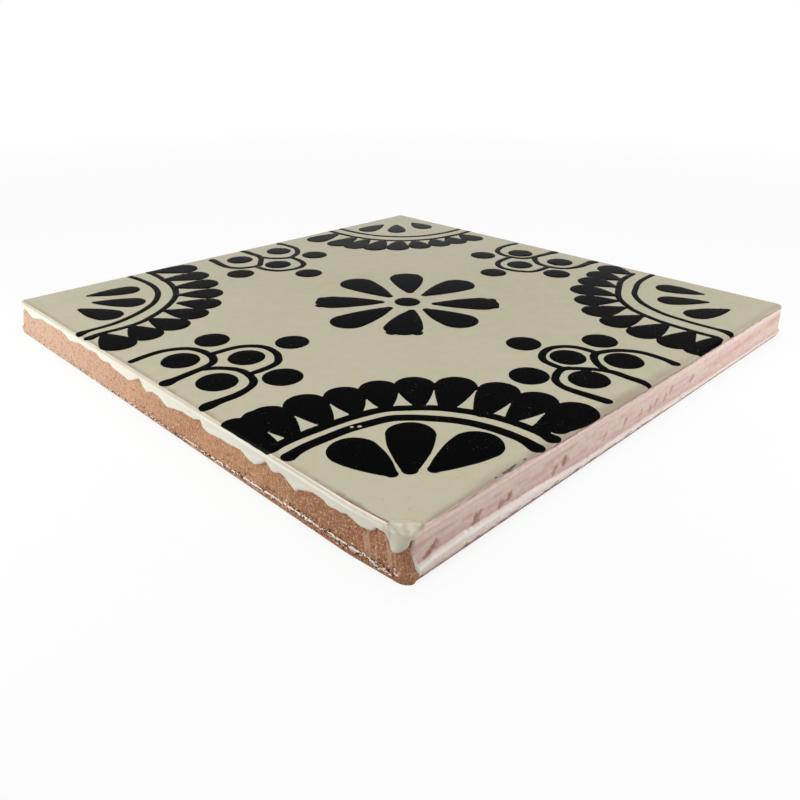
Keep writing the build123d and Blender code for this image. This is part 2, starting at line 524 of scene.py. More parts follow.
def fired_red_clay(colours):
    """Low-fired red earthenware, cut and pressed: matte and sandy, with light and dark grains of temper.

    Painted light makes it paler towards the far end of the dripping wall, and painted shade makes it darker and
    redder beside the front corner and dark in its pits.
    The grains are 0.2 to 0.4 mm, as in the clay, and the cut walls carry fine scratches.
    """
    material, place = new_material("fired_red_clay")
    cloud = patched(material, place, colours.clay, "#B98563", 1, 6, 0.3, 0.7)
    # Painted shade darker and redder beside the front corner, and painted light paler towards the far end of
    # the -X wall
    wall = marked(material, cloud, (("deep", linear("#94583E")), ("painted_far_light", linear("#E3CBB7"))))
    light = patched(material, place, wall, "#EBC5A6", 0.7, 0.3, 0.52, 0.68)
    dark = patched(material, place, light, "#875036", 0.7, 0.38, 0.54, 0.7)
    # The pits are coloured dark: painted shade in the pits
    colour = marked(material, dark, (("scrape", linear("#DDB497")), ("pit", linear("#603625"))))
    grain = noise_share(material, place, 0.22, 0.2, 0.8, detail=3)
    return surface(material, colour, 0.9, grain, 0.09, **BARE_CLAY)


def plain_finish(name, colour, second, size, roughness):
    """A crumb's finish: two near colours in patches of a size in mm, and a slight bump of that size."""
    material, place = new_material(name)
    mottled = patched(material, place, linear(colour), second, 1, size, 0.35, 0.65)
    bump = noise_share(material, place, size, 0, 1)
    return surface(material, mottled, roughness, bump, 0.03, **{"IOR": 1.5})


# The clay body

CLAY_STEPS = (0.13, 0.2, 0.4)    # distances between points along the walls: near the nose, seen, hidden
# Line of crumbs along the foot of the -X wall: place along Y, its height, and how thickly they lie there
CRUMB_LINE = [(-51, 1.15, 0.8), (-45, 1.22, 1.0), (-38, 1.2, 1.0), (-32, 1.13, 1.0), (-26, 1.0, 1.0),
              (-20, 0.83, 0.95), (-12, 0.8, 0.85), (10, 0.45, 0.4), (51, 0.4, 0.2)]
GROOVE_DEPTH = 0.09        # the clay is pressed in along that line, this far below it and this wide
GROOVE_BELOW = 0.05
GROOVE_WIDTH = 0.2
GRAIN_SIZE = 0.42          # sandy grain, and the soft lumps under it
LUMP_SIZE = 1.7
CUT_SIZE = (0.35, 2.5)     # scratches of the cutting: width along the wall, and length up it
CUT_LEAN = 0.28            # how far they lean along the wall for each millimetre up
PIT_SIZE = np.array([0.8, 0.8, 0.5])
PIT_DEPTH = 3              # in depths of the grain, and the share of it that is left high up the wall
PIT_HIGH_UP = 0.12
FAR_END_LIGHT = (0.55, -25, 48)    # painted light on the -X wall, paler towards its far end: its most, and the places along Y where it sets in
NOSE_SHADE = (0.4, -22, -50)     # the same for painted shade, darker and redder beside the front corner
BACK_BEVEL = 0.25          # from the foot in to the flat of the back
BACK_ROUGHNESS = 0.04


def clay_surface(ring, places, height, grain_depth):
    """How deep the clay is pressed in at points of one height, with its pits and its scratches."""
    grain = 0.5 + 0.5 * smooth_noise(ring / GRAIN_SIZE, 11)
    lumps = 0.5 + 0.5 * smooth_noise(ring / LUMP_SIZE, 12)
    cut = 0.5 + 0.5 * noise_over(places + CUT_LEAN * height, height, CUT_SIZE, 13)
    pit = smoothstep(0.55, 0.85, smooth_noise(ring / PIT_SIZE, 14))
    low = smoothstep(LEDGE + 0.5, FOOT, height)
    pit_depth = PIT_DEPTH * pit * (PIT_HIGH_UP + (1 - PIT_HIGH_UP) * low)
    depth = grain_depth * (0.6 * grain + 0.7 * lumps + 0.3 * cut + pit_depth)
    return depth, 0.9 * pit * (0.1 + 0.9 * low), smoothstep(0.55, 0.8, cut)


def build_clay(sizes, colours):
    """The red clay body: back, foot, ledge and walls, with a sandy grain and pits pressed in to it."""
    places = LINE.columns(*CLAY_STEPS)
    count = len(places)
    base, outward = LINE.at(places)
    y = base[:, 1]
    heights = np.concatenate([
        BACK_RADIUS * (1 - np.cos(np.linspace(0.25, 1, 4) * pi / 2)), np.arange(0.32, FOOT, 0.13),
        np.linspace(FOOT, LEDGE, 5), np.linspace(LEDGE, ARRIS_FOOT, 27)[1:]])
    beside_nose = stretch_share(places, LINE.nose - 6, LINE.nose + 1, 5)
    crumb_height, crumb_share = (read_table(CRUMB_LINE, y, column) for column in (1, 2))
    crumb_share = crumb_share * left_share(places)
    points, pits, scrapes = [], [], []
    for height in heights:
        out = clay_out(np.full(count, height), places)
        rounded = BACK_RADIUS - np.sqrt(np.clip(BACK_RADIUS ** 2 - (BACK_RADIUS - height) ** 2, 0, None))
        out -= rounded if height < BACK_RADIUS else 0
        ring = np.column_stack([base + outward * out[:, None], np.full(count, height)])
        depth, pit, cut = clay_surface(ring, places, height, sizes.clay_grain / MM)
        depth += GROOVE_DEPTH * band(height, crumb_height - GROOVE_BELOW, GROOVE_WIDTH) * crumb_share
        ring[:, :2] -= outward * (depth * smoothstep(0, BACK_RADIUS, height))[:, None]
        points.append(ring)
        pits.append(pit)
        scrapes.append(0.6 * cut * (0.25 + 0.75 * beside_nose) * smoothstep(FOOT, LEDGE, height))
    faces = []
    for row in range(len(heights) - 1):
        faces += ring_faces(row * count, (row + 1) * count, count)

    back = points[0][:, :2] - outward * BACK_BEVEL
    back_inner = grid_inside(HALF - 3, 2.0, 15)
    top = points[-1][:, :2]
    top_inner = grid_inside(HALF - 5, 8.0, 16)
    rough = 0.5 + 0.5 * smooth_noise(back_inner / 5, 17)
    points.append(np.column_stack([back, np.zeros(count)]))
    points.append(np.column_stack([back_inner, BACK_ROUGHNESS * rough]))
    points.append(np.column_stack([top_inner, np.full(len(top_inner), ARRIS_FOOT)]))
    start = len(heights) * count
    faces += ring_faces(start, 0, count)
    faces += cap(back, back_inner, start, start + count, upward=False)
    faces += cap(top, top_inner, start - count, start + count + len(back_inner), upward=True)

    rest = np.zeros(count + len(back_inner) + len(top_inner))
    # Painted light paler towards the far end of the -X wall, and painted shade beside the front corner
    painted_far_light = FAR_END_LIGHT[0] * smoothstep(*FAR_END_LIGHT[1:], y) * left_share(places)
    deep = NOSE_SHADE[0] * smoothstep(*NOSE_SHADE[1:], y)
    attributes = {
        "pit": np.concatenate(pits + [rest]), "scrape": np.concatenate(scrapes + [rest]),
        "painted_far_light": np.concatenate([np.tile(painted_far_light, len(heights)), rest]),
        "deep": np.concatenate([np.tile(deep, len(heights)), rest])}
    piece = add_piece("clay_body", np.vstack(points), faces, fired_red_clay(colours), attributes)
    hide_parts("tile")


# The cream glaze with its runs and the corner drop

GLAZE_STEPS = (0.12, 0.19, 0.34)
# Lower edge of the cream glaze on the -X wall, from the far end to the bend: place along Y, and height
LEFT_RUNS = [
    (51.2, 4.97), (48.2, 4.87), (45.5, 4.19), (40.9, 5.07), (38.6, 5.07), (35.3, 5.03), (32.5, 5.21),
    (30.6, 4.82), (29.2, 4.37), (26.5, 4.84), (24.9, 5.08), (22.1, 4.9), (19.1, 5.25), (17.9, 4.7),
    (16.1, 4.59), (14.7, 4.96), (13.1, 4.46), (10.5, 4.31), (7.7, 4.06), (5.8, 4.92), (4.6, 5.55),
    (3.5, 4.66), (2.1, 4.07), (0.4, 4.68), (-1.45, 4.5), (-3.8, 3.68), (-5.35, 4.15), (-8.2, 4.5),
    (-10.6, 4.47), (-12.5, 5.04), (-13.5, 4.08), (-15.15, 3.84), (-17.5, 4.16), (-19.1, 4.14), (-20.5, 4.24),
    (-22.3, 4.46), (-24.25, 3.76), (-25.5, 3.66), (-26.6, 4.26), (-27.6, 5.04), (-29.2, 4.18), (-30.6, 4.72),
    (-31.9, 4.42), (-33.7, 3.57), (-34.4, 4.15), (-35.1, 4.32), (-37.0, 4.86), (-38.7, 4.8), (-39.7, 4.42),
    (-41.1, 4.58), (-42.1, 4.61),
]
# The same round the front corner: place from the middle of its nose, and height
NOSE_RUNS = [
    (-9.6, 4.85), (-8.3, 4.55), (-6.95, 4.25), (-5.45, 4.55), (-4.85, 5.2), (-4.2, 5.1), (-3.65, 4.9),
    (-3.1, 4.3), (-2.5, 3.75), (-1.95, 3.5), (-1.3, 3.8), (-0.7, 4.15), (0.0, 4.5), (0.35, 5.1), (0.6, 5.45),
]
FRONT_TUCK = 5.45          # where the cream glaze ends on the -Y wall, over the wall glaze
# Where the cream turns pink on the arris of the -Y wall: place along X, and distance up from the arris's foot
FRONT_SEAM = [(-47, 0.88), (-41, 0.74), (-33, 0.92), (-23, 0.6), (-3, 0.38), (24, 0.34), (52, 0.3)]
# Width of the thin strip of the face along that wall: place along X, and width
THIN_STRIP = [(-48, 0.7), (-36, 1.5), (-20, 1.7), (20, 1.2)]
HIDDEN_TIPS = (3.9, 4.6)   # heights of the tips and hollows of the runs on the hidden walls
HIDDEN_HOLLOWS = (4.9, 5.3)
HIDDEN_SPACING = (1.4, 3.4)
BORDER_STEP = 0.05         # points of the glaze's lower edge
BORDER_SOFTNESS = 0.7      # width over which the corners of that line are rounded
BORDER_RAGGED = 0.05
BORDER_SEARCH = 15         # columns to both sides in which the nearest point of the line is looked for
# Rows of points from the lower edge up to the flat of the face, as shares of the way
RUN_ROWS = np.array([0, .012, .03, .055, .09, .135, .19, .25, .31, .37, .43, .49, .55, .6, .65, .7, .74, .78,
                     .82, .86, .89, .92, .95, .975, 1])
RUN_RIM = 0.3              # rounded rim of the runs, and how much wider it is at the nose
NOSE_RIM = 0.45
TIP_SWELLING = (0.16, 0.45, 0.4)    # the thick tip of a run: height, distance from its edge, and width
RUN_UNEVEN = 0.05          # soft unevenness of the runs, in waves of this size along and down the wall
RUN_WAVES = (2.6, 3.0)
RIM_SUNK = 0.04            # how far the rim is sunk in the clay
WALL_GLAZE_COVER = 0.05    # how thick the cream glaze is over the wall glaze
INNER_CAP = 5.3            # hidden underside of the glaze, inside the clay
INNER_OUT = -1.55
TUCK_DEPTH = 0.16          # how deep the glaze goes in under its lower edge

# The drop of glaze over the front corner: a swelling that slopes from the face down in to a tongue on the
# wall. The swelling is a thick triangle with two corners on the face and one in the tongue.
DROP_MIDDLE = np.array([-50.35, -50.45])
DROP_AXES = np.array([[1, -1], [1, 1]]) / 2 ** 0.5
SWELLING = np.array([(-50.55, -48.95, 5.86), (-48.95, -50.85, 5.86), (-50.9, -50.65, 4.75)])
SWELLING_RADIUS = 0.64
SWELLING_UNEVEN = 0.08
TONGUE = [((-50.25, -50.15, 5.15), 1.3), ((-51.0, -50.25, 4.18), 0.92)]
TONGUE_BLEND = 0.7         # widths over which the tongue and then the face are filled in to the swelling
DROP_BLEND = 0.35
DROP_HIGHEST = FACE + DROP_RISE - 0.02
DROP_REACH = 6.0           # how far from its middle the drop is looked for, and how far out it may stand
DROP_OUT_STEPS = np.linspace(0, 1.6, 65)

# Points on the flat of the face: spacings and margins, coarse ones and fine ones round the drop
COARSE_SPACING, COARSE_MARGIN = 0.95, 0.8
FINE_SPACING, FINE_MARGIN = 0.17, 0.2
FINE_REACH = 6.0


def hidden_runs():
    """Runs on the +X and +Y walls: tips and hollows at uneven distances."""
    random = np.random.default_rng(5)
    place, tip, found = LINE.right_start + 2.5, True, []
    while place < LINE.back_end + 1:
        found.append((place, random.uniform(*HIDDEN_TIPS) if tip else random.uniform(*HIDDEN_HOLLOWS)))
        place += random.uniform(*HIDDEN_SPACING)
        tip = not tip
    return found


def glaze_border(places):
    """Height of the lower edge of the cream glaze, with rounded tips and hollows."""
    knots = [(float(LINE.nose + place), height) for place, height in NOSE_RUNS]
    knots += [(float(LINE.nose + 1.2), FRONT_TUCK), (float(LINE.right_start) + 1.5, FRONT_TUCK)]
    knots += hidden_runs()
    knots += [(float(LINE.left(y)), height) for y, height in LEFT_RUNS]
    knots.sort()
    dense = np.arange(0, LINE.length, BORDER_STEP)
    heights = np.interp(dense, [k[0] for k in knots], [k[1] for k in knots], period=LINE.length)
    window = np.hanning(int(BORDER_SOFTNESS / BORDER_STEP) | 1)
    margin = len(window)
    wrapped = np.concatenate([heights[-margin:], heights, heights[:margin]])
    heights = np.convolve(wrapped, window / window.sum(), "same")[margin:-margin]
    ragged = BORDER_RAGGED * noise_along(places, 0.55, 21)
    return np.interp(places, dense, heights, period=LINE.length) + ragged


def edge_distance(places, runs, border):
    """Distance, along the unrolled surface, from each point of a column grid to the glaze's lower edge."""
    nearest = np.full(runs.shape, np.inf)
    for shift in range(-BORDER_SEARCH, BORDER_SEARCH):
        along, next_along = (
            np.mod(np.roll(places, each) - places + LINE.length / 2, LINE.length) - LINE.length / 2
            for each in (shift, shift - 1))
        rise, next_rise = np.roll(border, shift) - runs, np.roll(border, shift - 1) - runs
        step_along, step_rise = next_along - along, next_rise - rise
        share = -(along * step_along + rise * step_rise) / (step_along ** 2 + step_rise ** 2)
        share = np.clip(share, 0, 1)
        nearest = np.minimum(nearest, np.hypot(along + share * step_along, rise + share * step_rise))
    return nearest


def triangle_distance(points, corners):
    """Distance from points to a triangle in space."""
    normal = np.cross(corners[1] - corners[0], corners[2] - corners[0])
    normal /= np.linalg.norm(normal)
    nearest = np.full(points.shape[:-1], np.inf)
    inside = np.ones(points.shape[:-1], bool)
    for first, second in zip(corners, np.roll(corners, -1, axis=0)):
        offset, along = points - first, second - first
        share = np.clip(offset @ along / (along @ along), 0, 1)
        nearest = np.minimum(nearest, np.linalg.norm(offset - share[..., None] * along, axis=-1))
        inside &= offset @ np.cross(normal, along) > 0
    return np.where(inside, np.abs((points - corners[0]) @ normal), nearest)


def drop_field(points):
    """Signed distance to the corner drop, negative inside."""
    uneven = SWELLING_UNEVEN * smooth_noise(points / 1.4, 48)
    swelling = triangle_distance(points, SWELLING) - SWELLING_RADIUS + uneven
    (start, start_radius), (end, end_radius) = TONGUE
    start, along = np.array(start), np.array(end) - np.array(start)
    share = np.clip((points - start) @ along / (along @ along), 0, 1)
    radius = start_radius + (end_radius - start_radius) * share
    tongue = np.linalg.norm(points - start - share[..., None] * along, axis=-1) - radius
    return smooth_min(swelling, tongue, TONGUE_BLEND)


def drop_crease_shade(points):
    """1 along the line where the back of the drop meets the face, where shade is painted, and 0 away from it.
    """
    across, behind = ((points[..., :2] - DROP_MIDDLE) @ DROP_AXES[i] for i in (0, 1))
    back = smoothstep(0.5, 1.3, behind) * (0.75 + 0.35 * smooth_noise(points / 0.9, 49))
    side = 0.9 * smoothstep(1.2, 1.9, np.abs(across)) * smoothstep(-1.0, -0.3, behind)
    return band(drop_field(points), 0.05, 0.13) * np.clip(np.maximum(back, side), 0, 1)


def drop_lift(points, outward):
    """How far the drop stands out from points of the glaze, along the outward direction of each."""
    lift = np.zeros(points.shape[:-1])
    near = np.linalg.norm(points[..., :2] - DROP_MIDDLE, axis=-1) < DROP_REACH
    start, direction = points[near], outward[near]
    step = DROP_OUT_STEPS[1] - DROP_OUT_STEPS[0]
    found = np.zeros(len(start))
    before = np.full(len(start), -1.0)
    for i, distance in enumerate(DROP_OUT_STEPS):
        from_drop = drop_field(start + distance * direction)
        value = smooth_min(np.full(len(start), distance), from_drop, DROP_BLEND)
        crossed = (before < 0) & (value >= 0) & (i > 0)
        share = np.where(crossed, before / np.where(crossed, before - value, 1), 0)
        found = np.where(crossed, distance - (1 - share) * step, found)
        before = value
    lift[near] = found
    return lift


def glaze_surface(base, outward, runs):
    """Points on the full glaze and their outward directions.

    A run is the distance up the section from the foot of the arris: negative down the wall, and past
    the arris it goes in over the face.
    """
    angle = np.clip(runs / ARRIS, 0, pi / 2)
    wall = np.minimum(runs, 0)
    flat = np.maximum(runs - ARRIS_RUN, 0)
    out = FLAT_OUT + ARRIS * np.cos(angle) - GLAZE_SLOPE * wall - flat
    height = ARRIS_FOOT + ARRIS * np.sin(angle) + wall
    points = np.concatenate([base + outward * out[..., None], height[..., None]], -1)
    directions = np.concatenate([outward * np.cos(angle)[..., None], np.sin(angle)[..., None]], -1)
    return points, directions


def face_points(swell_height):
    """Points on the flat of the face, close together round the corner drop, seen from above and in space."""
    corner = np.array([-FLAT, -FLAT])
    coarse = grid_inside(FLAT - COARSE_MARGIN, COARSE_SPACING, 23)
    coarse = coarse[np.linalg.norm(coarse - corner, axis=1) > FINE_REACH]
    fine = grid_inside(FLAT - FINE_MARGIN, FINE_SPACING, 24)
    fine = fine[(np.linalg.norm(fine - corner, axis=1) < FINE_REACH) & (fine.min(axis=1) > -FLAT + 0.25)]
    worn = np.clip((WORN_LENGTH - FLAT - fine[:, 1]) / WORN_LENGTH, 0, 1)
    on_slant = (fine[:, 0] + FLAT) > 0.15 + WORN_DEPTH * worn
    from_corner = fine - corner - np.array([WORN_DEPTH + 0.5, 0.5])
    cut_off = (from_corner.max(axis=1) < 0) & (np.linalg.norm(from_corner, axis=1) > 0.4)
    flat = np.vstack([coarse, fine[on_slant & ~cut_off]])
    points = np.column_stack([flat, FACE + swell_height * face_swell(flat[:, 0], flat[:, 1])])
    points[:, 2] += drop_lift(points, np.broadcast_to([0.0, 0.0, 1.0], points.shape))
    return flat, points


def row_marks(places, base, runs, points):
    """How the glaze is coloured on its rows: pale runs, a pinkish-white arris that is partly a painted
    highlight, thin and pink places, and dark lines with painted shade in the crease behind the corner drop.

    The points are those of the glaze before the corner drop is added.
    """
    front, left = front_share(places), left_share(places)
    nose = stretch_share(places, LINE.nose - 3.6, LINE.nose + 0.4, 0.8)
    from_nose = np.mod(places - LINE.nose + LINE.length / 2, LINE.length) - LINE.length / 2
    x, level = base[:, 0], points[..., 2]
    outside = smoothstep(-0.1, 0.12, drop_field(points))
    pale = 1 - 0.75 * nose * smoothstep(3.7, 4.7, level)
    run = smoothstep(0.85, 0.3, runs) * (1 - front) * pale

    # A dashed line along the arris and a wider band beside the nose: painted highlight, partly the glaze's own
    # tint
    dashed = smoothstep(-0.25, 0.15, noise_over(places, runs, (0.55, 2), 26))
    dashed = dashed * smoothstep(-0.5, 0.0, noise_over(places, runs, (3.1, 4), 50))
    line = band(runs, 0.88, 0.11) * (0.5 + 0.5 * dashed) * (1 - nose) * (0.35 + 0.65 * left)
    beside = smoothstep(-15, -8, from_nose) * smoothstep(-2.0, -2.8, from_nose)
    strip = smoothstep(0.5, 0.68, runs) * smoothstep(1.06, 0.95, runs) * beside * outside
    arris = np.maximum(0.85 * line, 0.75 * strip * (0.7 + 0.3 * dashed)) * (1 - front)

    along_front = smoothstep(-49.3, -46, x) * (base[:, 1] < -FLAT)
    seam_run = read_table(FRONT_SEAM, x) - 0.07 * noise_along(places, 1.1, 28)
    above_seam = runs - seam_run
    thin = front * along_front * smoothstep(-0.05, 0.05, above_seam)
    thin = thin * (0.95 - 0.35 * smoothstep(-10, 18, x) - 0.3 * smoothstep(0, 0.5, above_seam))
    past_drop = smoothstep(-0.15, 0.15, from_nose - 0.9 - 3.5 * (level - 5.6))
    pink = front * smoothstep(0.05, -0.06, above_seam) * past_drop * outside

    # Dark lines along the top of the arrises, and painted shade in the crease behind the corner drop
    on_left = 0.55 * beside + left * (0.3 + 0.2 * dashed)
    left_seam = smoothstep(0.98, 1.07, runs) * outside * on_left
    behind_drop_shade = 0.6 * drop_crease_shade(points) * (1 - along_front)
    dashes = smoothstep(0.05, 0.5, noise_over(places, 1, (0.8, 1), 29))
    front_seam = front * along_front * (0.5 + 0.4 * dashes) * band(above_seam, 0.03, 0.1)
    dark_line_and_crease_shade = np.maximum(np.maximum(left_seam, behind_drop_shade), front_seam)
    return {"run": run, "arris": arris, "thin": thin, "pink": pink, "dark_line_and_crease_shade": dark_line_and_crease_shade}


def flat_marks(flat):
    """The same on the flat: thin along the -Y wall, pinker at its far end, and with painted shade in the crease
    by the drop.
    """
    x, from_front = flat[:, 0], flat[:, 1] + FLAT
    width = read_table(THIN_STRIP, x) * (1 + 0.3 * noise_along(x, 6, 27))
    strip = smoothstep(1, 0, from_front / width) * smoothstep(-49.3, -45, x)
    far = smoothstep(0, 18, x)
    crease = drop_crease_shade(np.column_stack([flat, np.full(len(flat), FACE)]))
    return {"thin": 0.75 * strip * (1 - 0.7 * far), "pink": 0.4 * strip * far, "dark_line_and_crease_shade": 0.6 * crease}


def build_cream_glaze(sizes, colours):
    """The cream glaze: the face, its rolled arris, the runs down three walls and the corner drop."""
    places = LINE.columns(*GLAZE_STEPS)
    count = len(places)
    base, outward = LINE.at(places)
    border = glaze_border(places)
    border_run = np.where(border < ARRIS_FOOT, border - ARRIS_FOOT,
                          ARRIS * np.arcsin(np.clip((border - ARRIS_FOOT) / ARRIS, 0, 1)))
    runs = border_run + (ARRIS_RUN - border_run) * RUN_ROWS[:, None]
    grid_base = np.broadcast_to(base, runs.shape + (2,))
    grid_outward = np.broadcast_to(outward, runs.shape + (2,))
    plain_points, directions = glaze_surface(grid_base, grid_outward, runs)

    distance = edge_distance(places, runs, border_run)
    front = front_share(places)
    heights = ARRIS_FOOT + np.minimum(runs, 0)
    under = clay_out(heights, np.broadcast_to(places, runs.shape))
    thickness = np.where(front > 0.5, WALL_GLAZE_COVER, glaze_out(heights) - under)
    nose = stretch_share(places, LINE.nose - 3.6, LINE.nose + 0.4, 0.8)
    full = round_rim(distance, RUN_RIM + NOSE_RIM * nose)
    on_wall = smoothstep(0.1, -0.5, runs) * (1 - front)
    tip_height, tip_middle, tip_width = TIP_SWELLING
    swelling = tip_height * smoothstep(5.0, 4.0, border) * band(distance, tip_middle, tip_width) * on_wall
    uneven = RUN_UNEVEN * noise_over(places, runs, RUN_WAVES, 22) * smoothstep(0, 0.4, distance) * on_wall
    shift = (full - 1) * thickness - RIM_SUNK * (1 - full) + (swelling + uneven) * full
    points = plain_points + directions * (shift + drop_lift(plain_points, directions) * full)[..., None]

    flat, flat_points = face_points(sizes.swell_height / MM)
    tucked_out = (under[0] - TUCK_DEPTH)[:, None]
    tucked = np.column_stack([base + outward * tucked_out, np.minimum(border, ARRIS_FOOT)])
    hidden = np.column_stack([base + outward * INNER_OUT, np.full(count, INNER_CAP)])
    floor_inner = grid_inside(HALF - 6, 9.0, 25)
    floor_points = np.column_stack([floor_inner, np.full(len(floor_inner), INNER_CAP)])

    rows = len(RUN_ROWS)
    everything = np.vstack([points.reshape(-1, 3), flat_points, tucked, hidden, floor_points])
    everything[:, 2] = np.minimum(everything[:, 2], DROP_HIGHEST)
    flat_start = rows * count
    tucked_start = flat_start + len(flat)
    hidden_start = tucked_start + count
    faces = []
    for row in range(rows - 1):
        faces += ring_faces(row * count, (row + 1) * count, count)
    faces += cap(base + outward * FLAT_OUT, flat, (rows - 1) * count, flat_start, upward=True)
    faces += ring_faces(tucked_start, 0, count)
    faces += ring_faces(hidden_start, tucked_start, count)
    faces += cap(hidden[:, :2], floor_inner, hidden_start, hidden_start + count, upward=False)

    rest = np.zeros(count * 2 + len(floor_points))
    on_flat = flat_marks(flat)
    attributes = {key: np.concatenate([values.ravel(), on_flat.get(key, np.zeros(len(flat))), rest])
                  for key, values in row_marks(places, base, runs, plain_points).items()}
    add_piece("cream_glaze", everything, faces, cream_tin_glaze(colours), attributes)


# The thin glaze of the -Y wall

WALL_STEPS = (0.11, 0.19, 0.4)
# Where it starts beside the front corner: height, and place from the middle of the nose
WALL_START = [(0.25, 1.6), (2.55, 0.95), (4.15, 0.25), (5.6, 0.95)]
FIRST_COLUMN = 0.8         # place of the first column, from the middle of the nose
WALL_TOP = 5.62            # tucked in under the cream glaze
WALL_BOTTOM = 0.52
FINE_ROWS_TO = 2.6         # rows are close together up to about this height
WALL_WRAP = 1.3            # how far it goes on past the right corner
END_GAP = 0.06             # columns closer than this to its ends are left out
BEAD_TOP = [(-50, 2.3), (-48.2, 2.5), (-43.7, 2.7), (-36.2, 2.4), (-28.3, 2.1), (-18.8, 1.5), (0, 1.5),
            (52, 1.15)]
BEAD_OUT = -0.02
BEAD_SHAPE = (2.2, 0.55)   # powers that make the bead's section flat in the middle and round at its edges
BEAD_BLEND = 0.08
THINNER = 0.045            # how far the wall glaze stands back from the cream glaze above it
OVER_FOOT = 0.05           # how thick it is over the foot
SUNK = 0.05                # how far its edges are sunk in the clay
END_RIM, FOOT_RIM = 0.32, 0.16
INNER_TOP_OUT, INNER_BOTTOM_OUT = -1.3, -0.7    # its hidden back, inside the clay

# Scrapes where red clay shows: place along X and height of the two ends, half width, strength
FLECKS = [
    (-48.5, 2.75, -47.6, 3.3, 0.26, 1.0), (-47.5, 3.3, -47.1, 3.95, 0.2, 0.75),
    (-47.6, 3.2, -46.8, 3.35, 0.16, 0.6), (-49.0, 2.6, -48.3, 2.75, 0.2, 0.7),
    (-40.7, 2.95, -40.3, 3.6, 0.27, 0.95), (-40.0, 3.3, -39.6, 3.8, 0.2, 0.8),
    (-40.9, 2.75, -40.0, 2.85, 0.2, 0.7), (-36.1, 2.7, -35.7, 3.25, 0.22, 0.8),
    (-35.7, 2.8, -35.1, 3.1, 0.17, 0.7), (-34.2, 3.1, -33.9, 3.6, 0.3, 1.0),
    (-24.9, 2.5, -24.4, 3.1, 0.2, 0.85), (-22.5, 3.05, -22.3, 3.4, 0.3, 1.2),
    (-22.3, 2.9, -21.7, 3.1, 0.14, 0.6), (-12.7, 2.5, -12.2, 3.1, 0.14, 0.6),
    (-7.2, 2.8, -6.7, 3.5, 0.17, 0.8), (-2.8, 2.6, -2.3, 3.2, 0.15, 0.7),
    (0.0, 2.3, 0.5, 2.8, 0.15, 0.7), (1.8, 2.7, 2.3, 3.3, 0.15, 0.75), (4.7, 2.5, 5.2, 3.1, 0.16, 0.75),
    (6.4, 3.1, 7.0, 3.8, 0.15, 0.8), (13.5, 2.8, 14.2, 3.4, 0.17, 0.8),
]
# How wide a scrape's soft edge is and how strong it is, by its place along X
FLECK_SOFTNESS = [(-38, 1, 1), (-20, 2.3, 0.8)]
# An orange streak along the far part of the wall: place along X, and height
STREAK = [(15.5, 2.75), (22, 3.0), (30, 3.3), (40, 3.6), (51.5, 4.05)]
STREAK_START = 16.5
# Painted shade in brown along the bead's foot: place along X, and its strength
BEAD_UNDERSIDE_SHADE = [(-46, 0.45), (-36, 0.26), (-10, 0.2), (20, 0)]


def segment_distance(x, z, mark):
    """Distance from points of the wall to a short straight mark."""
    x0, z0, x1, z1 = mark
    share = ((x - x0) * (x1 - x0) + (z - z0) * (z1 - z0)) / ((x1 - x0) ** 2 + (z1 - z0) ** 2)
    share = np.clip(share, 0, 1)
    return np.hypot(x - x0 - share * (x1 - x0), z - z0 - share * (z1 - z0))


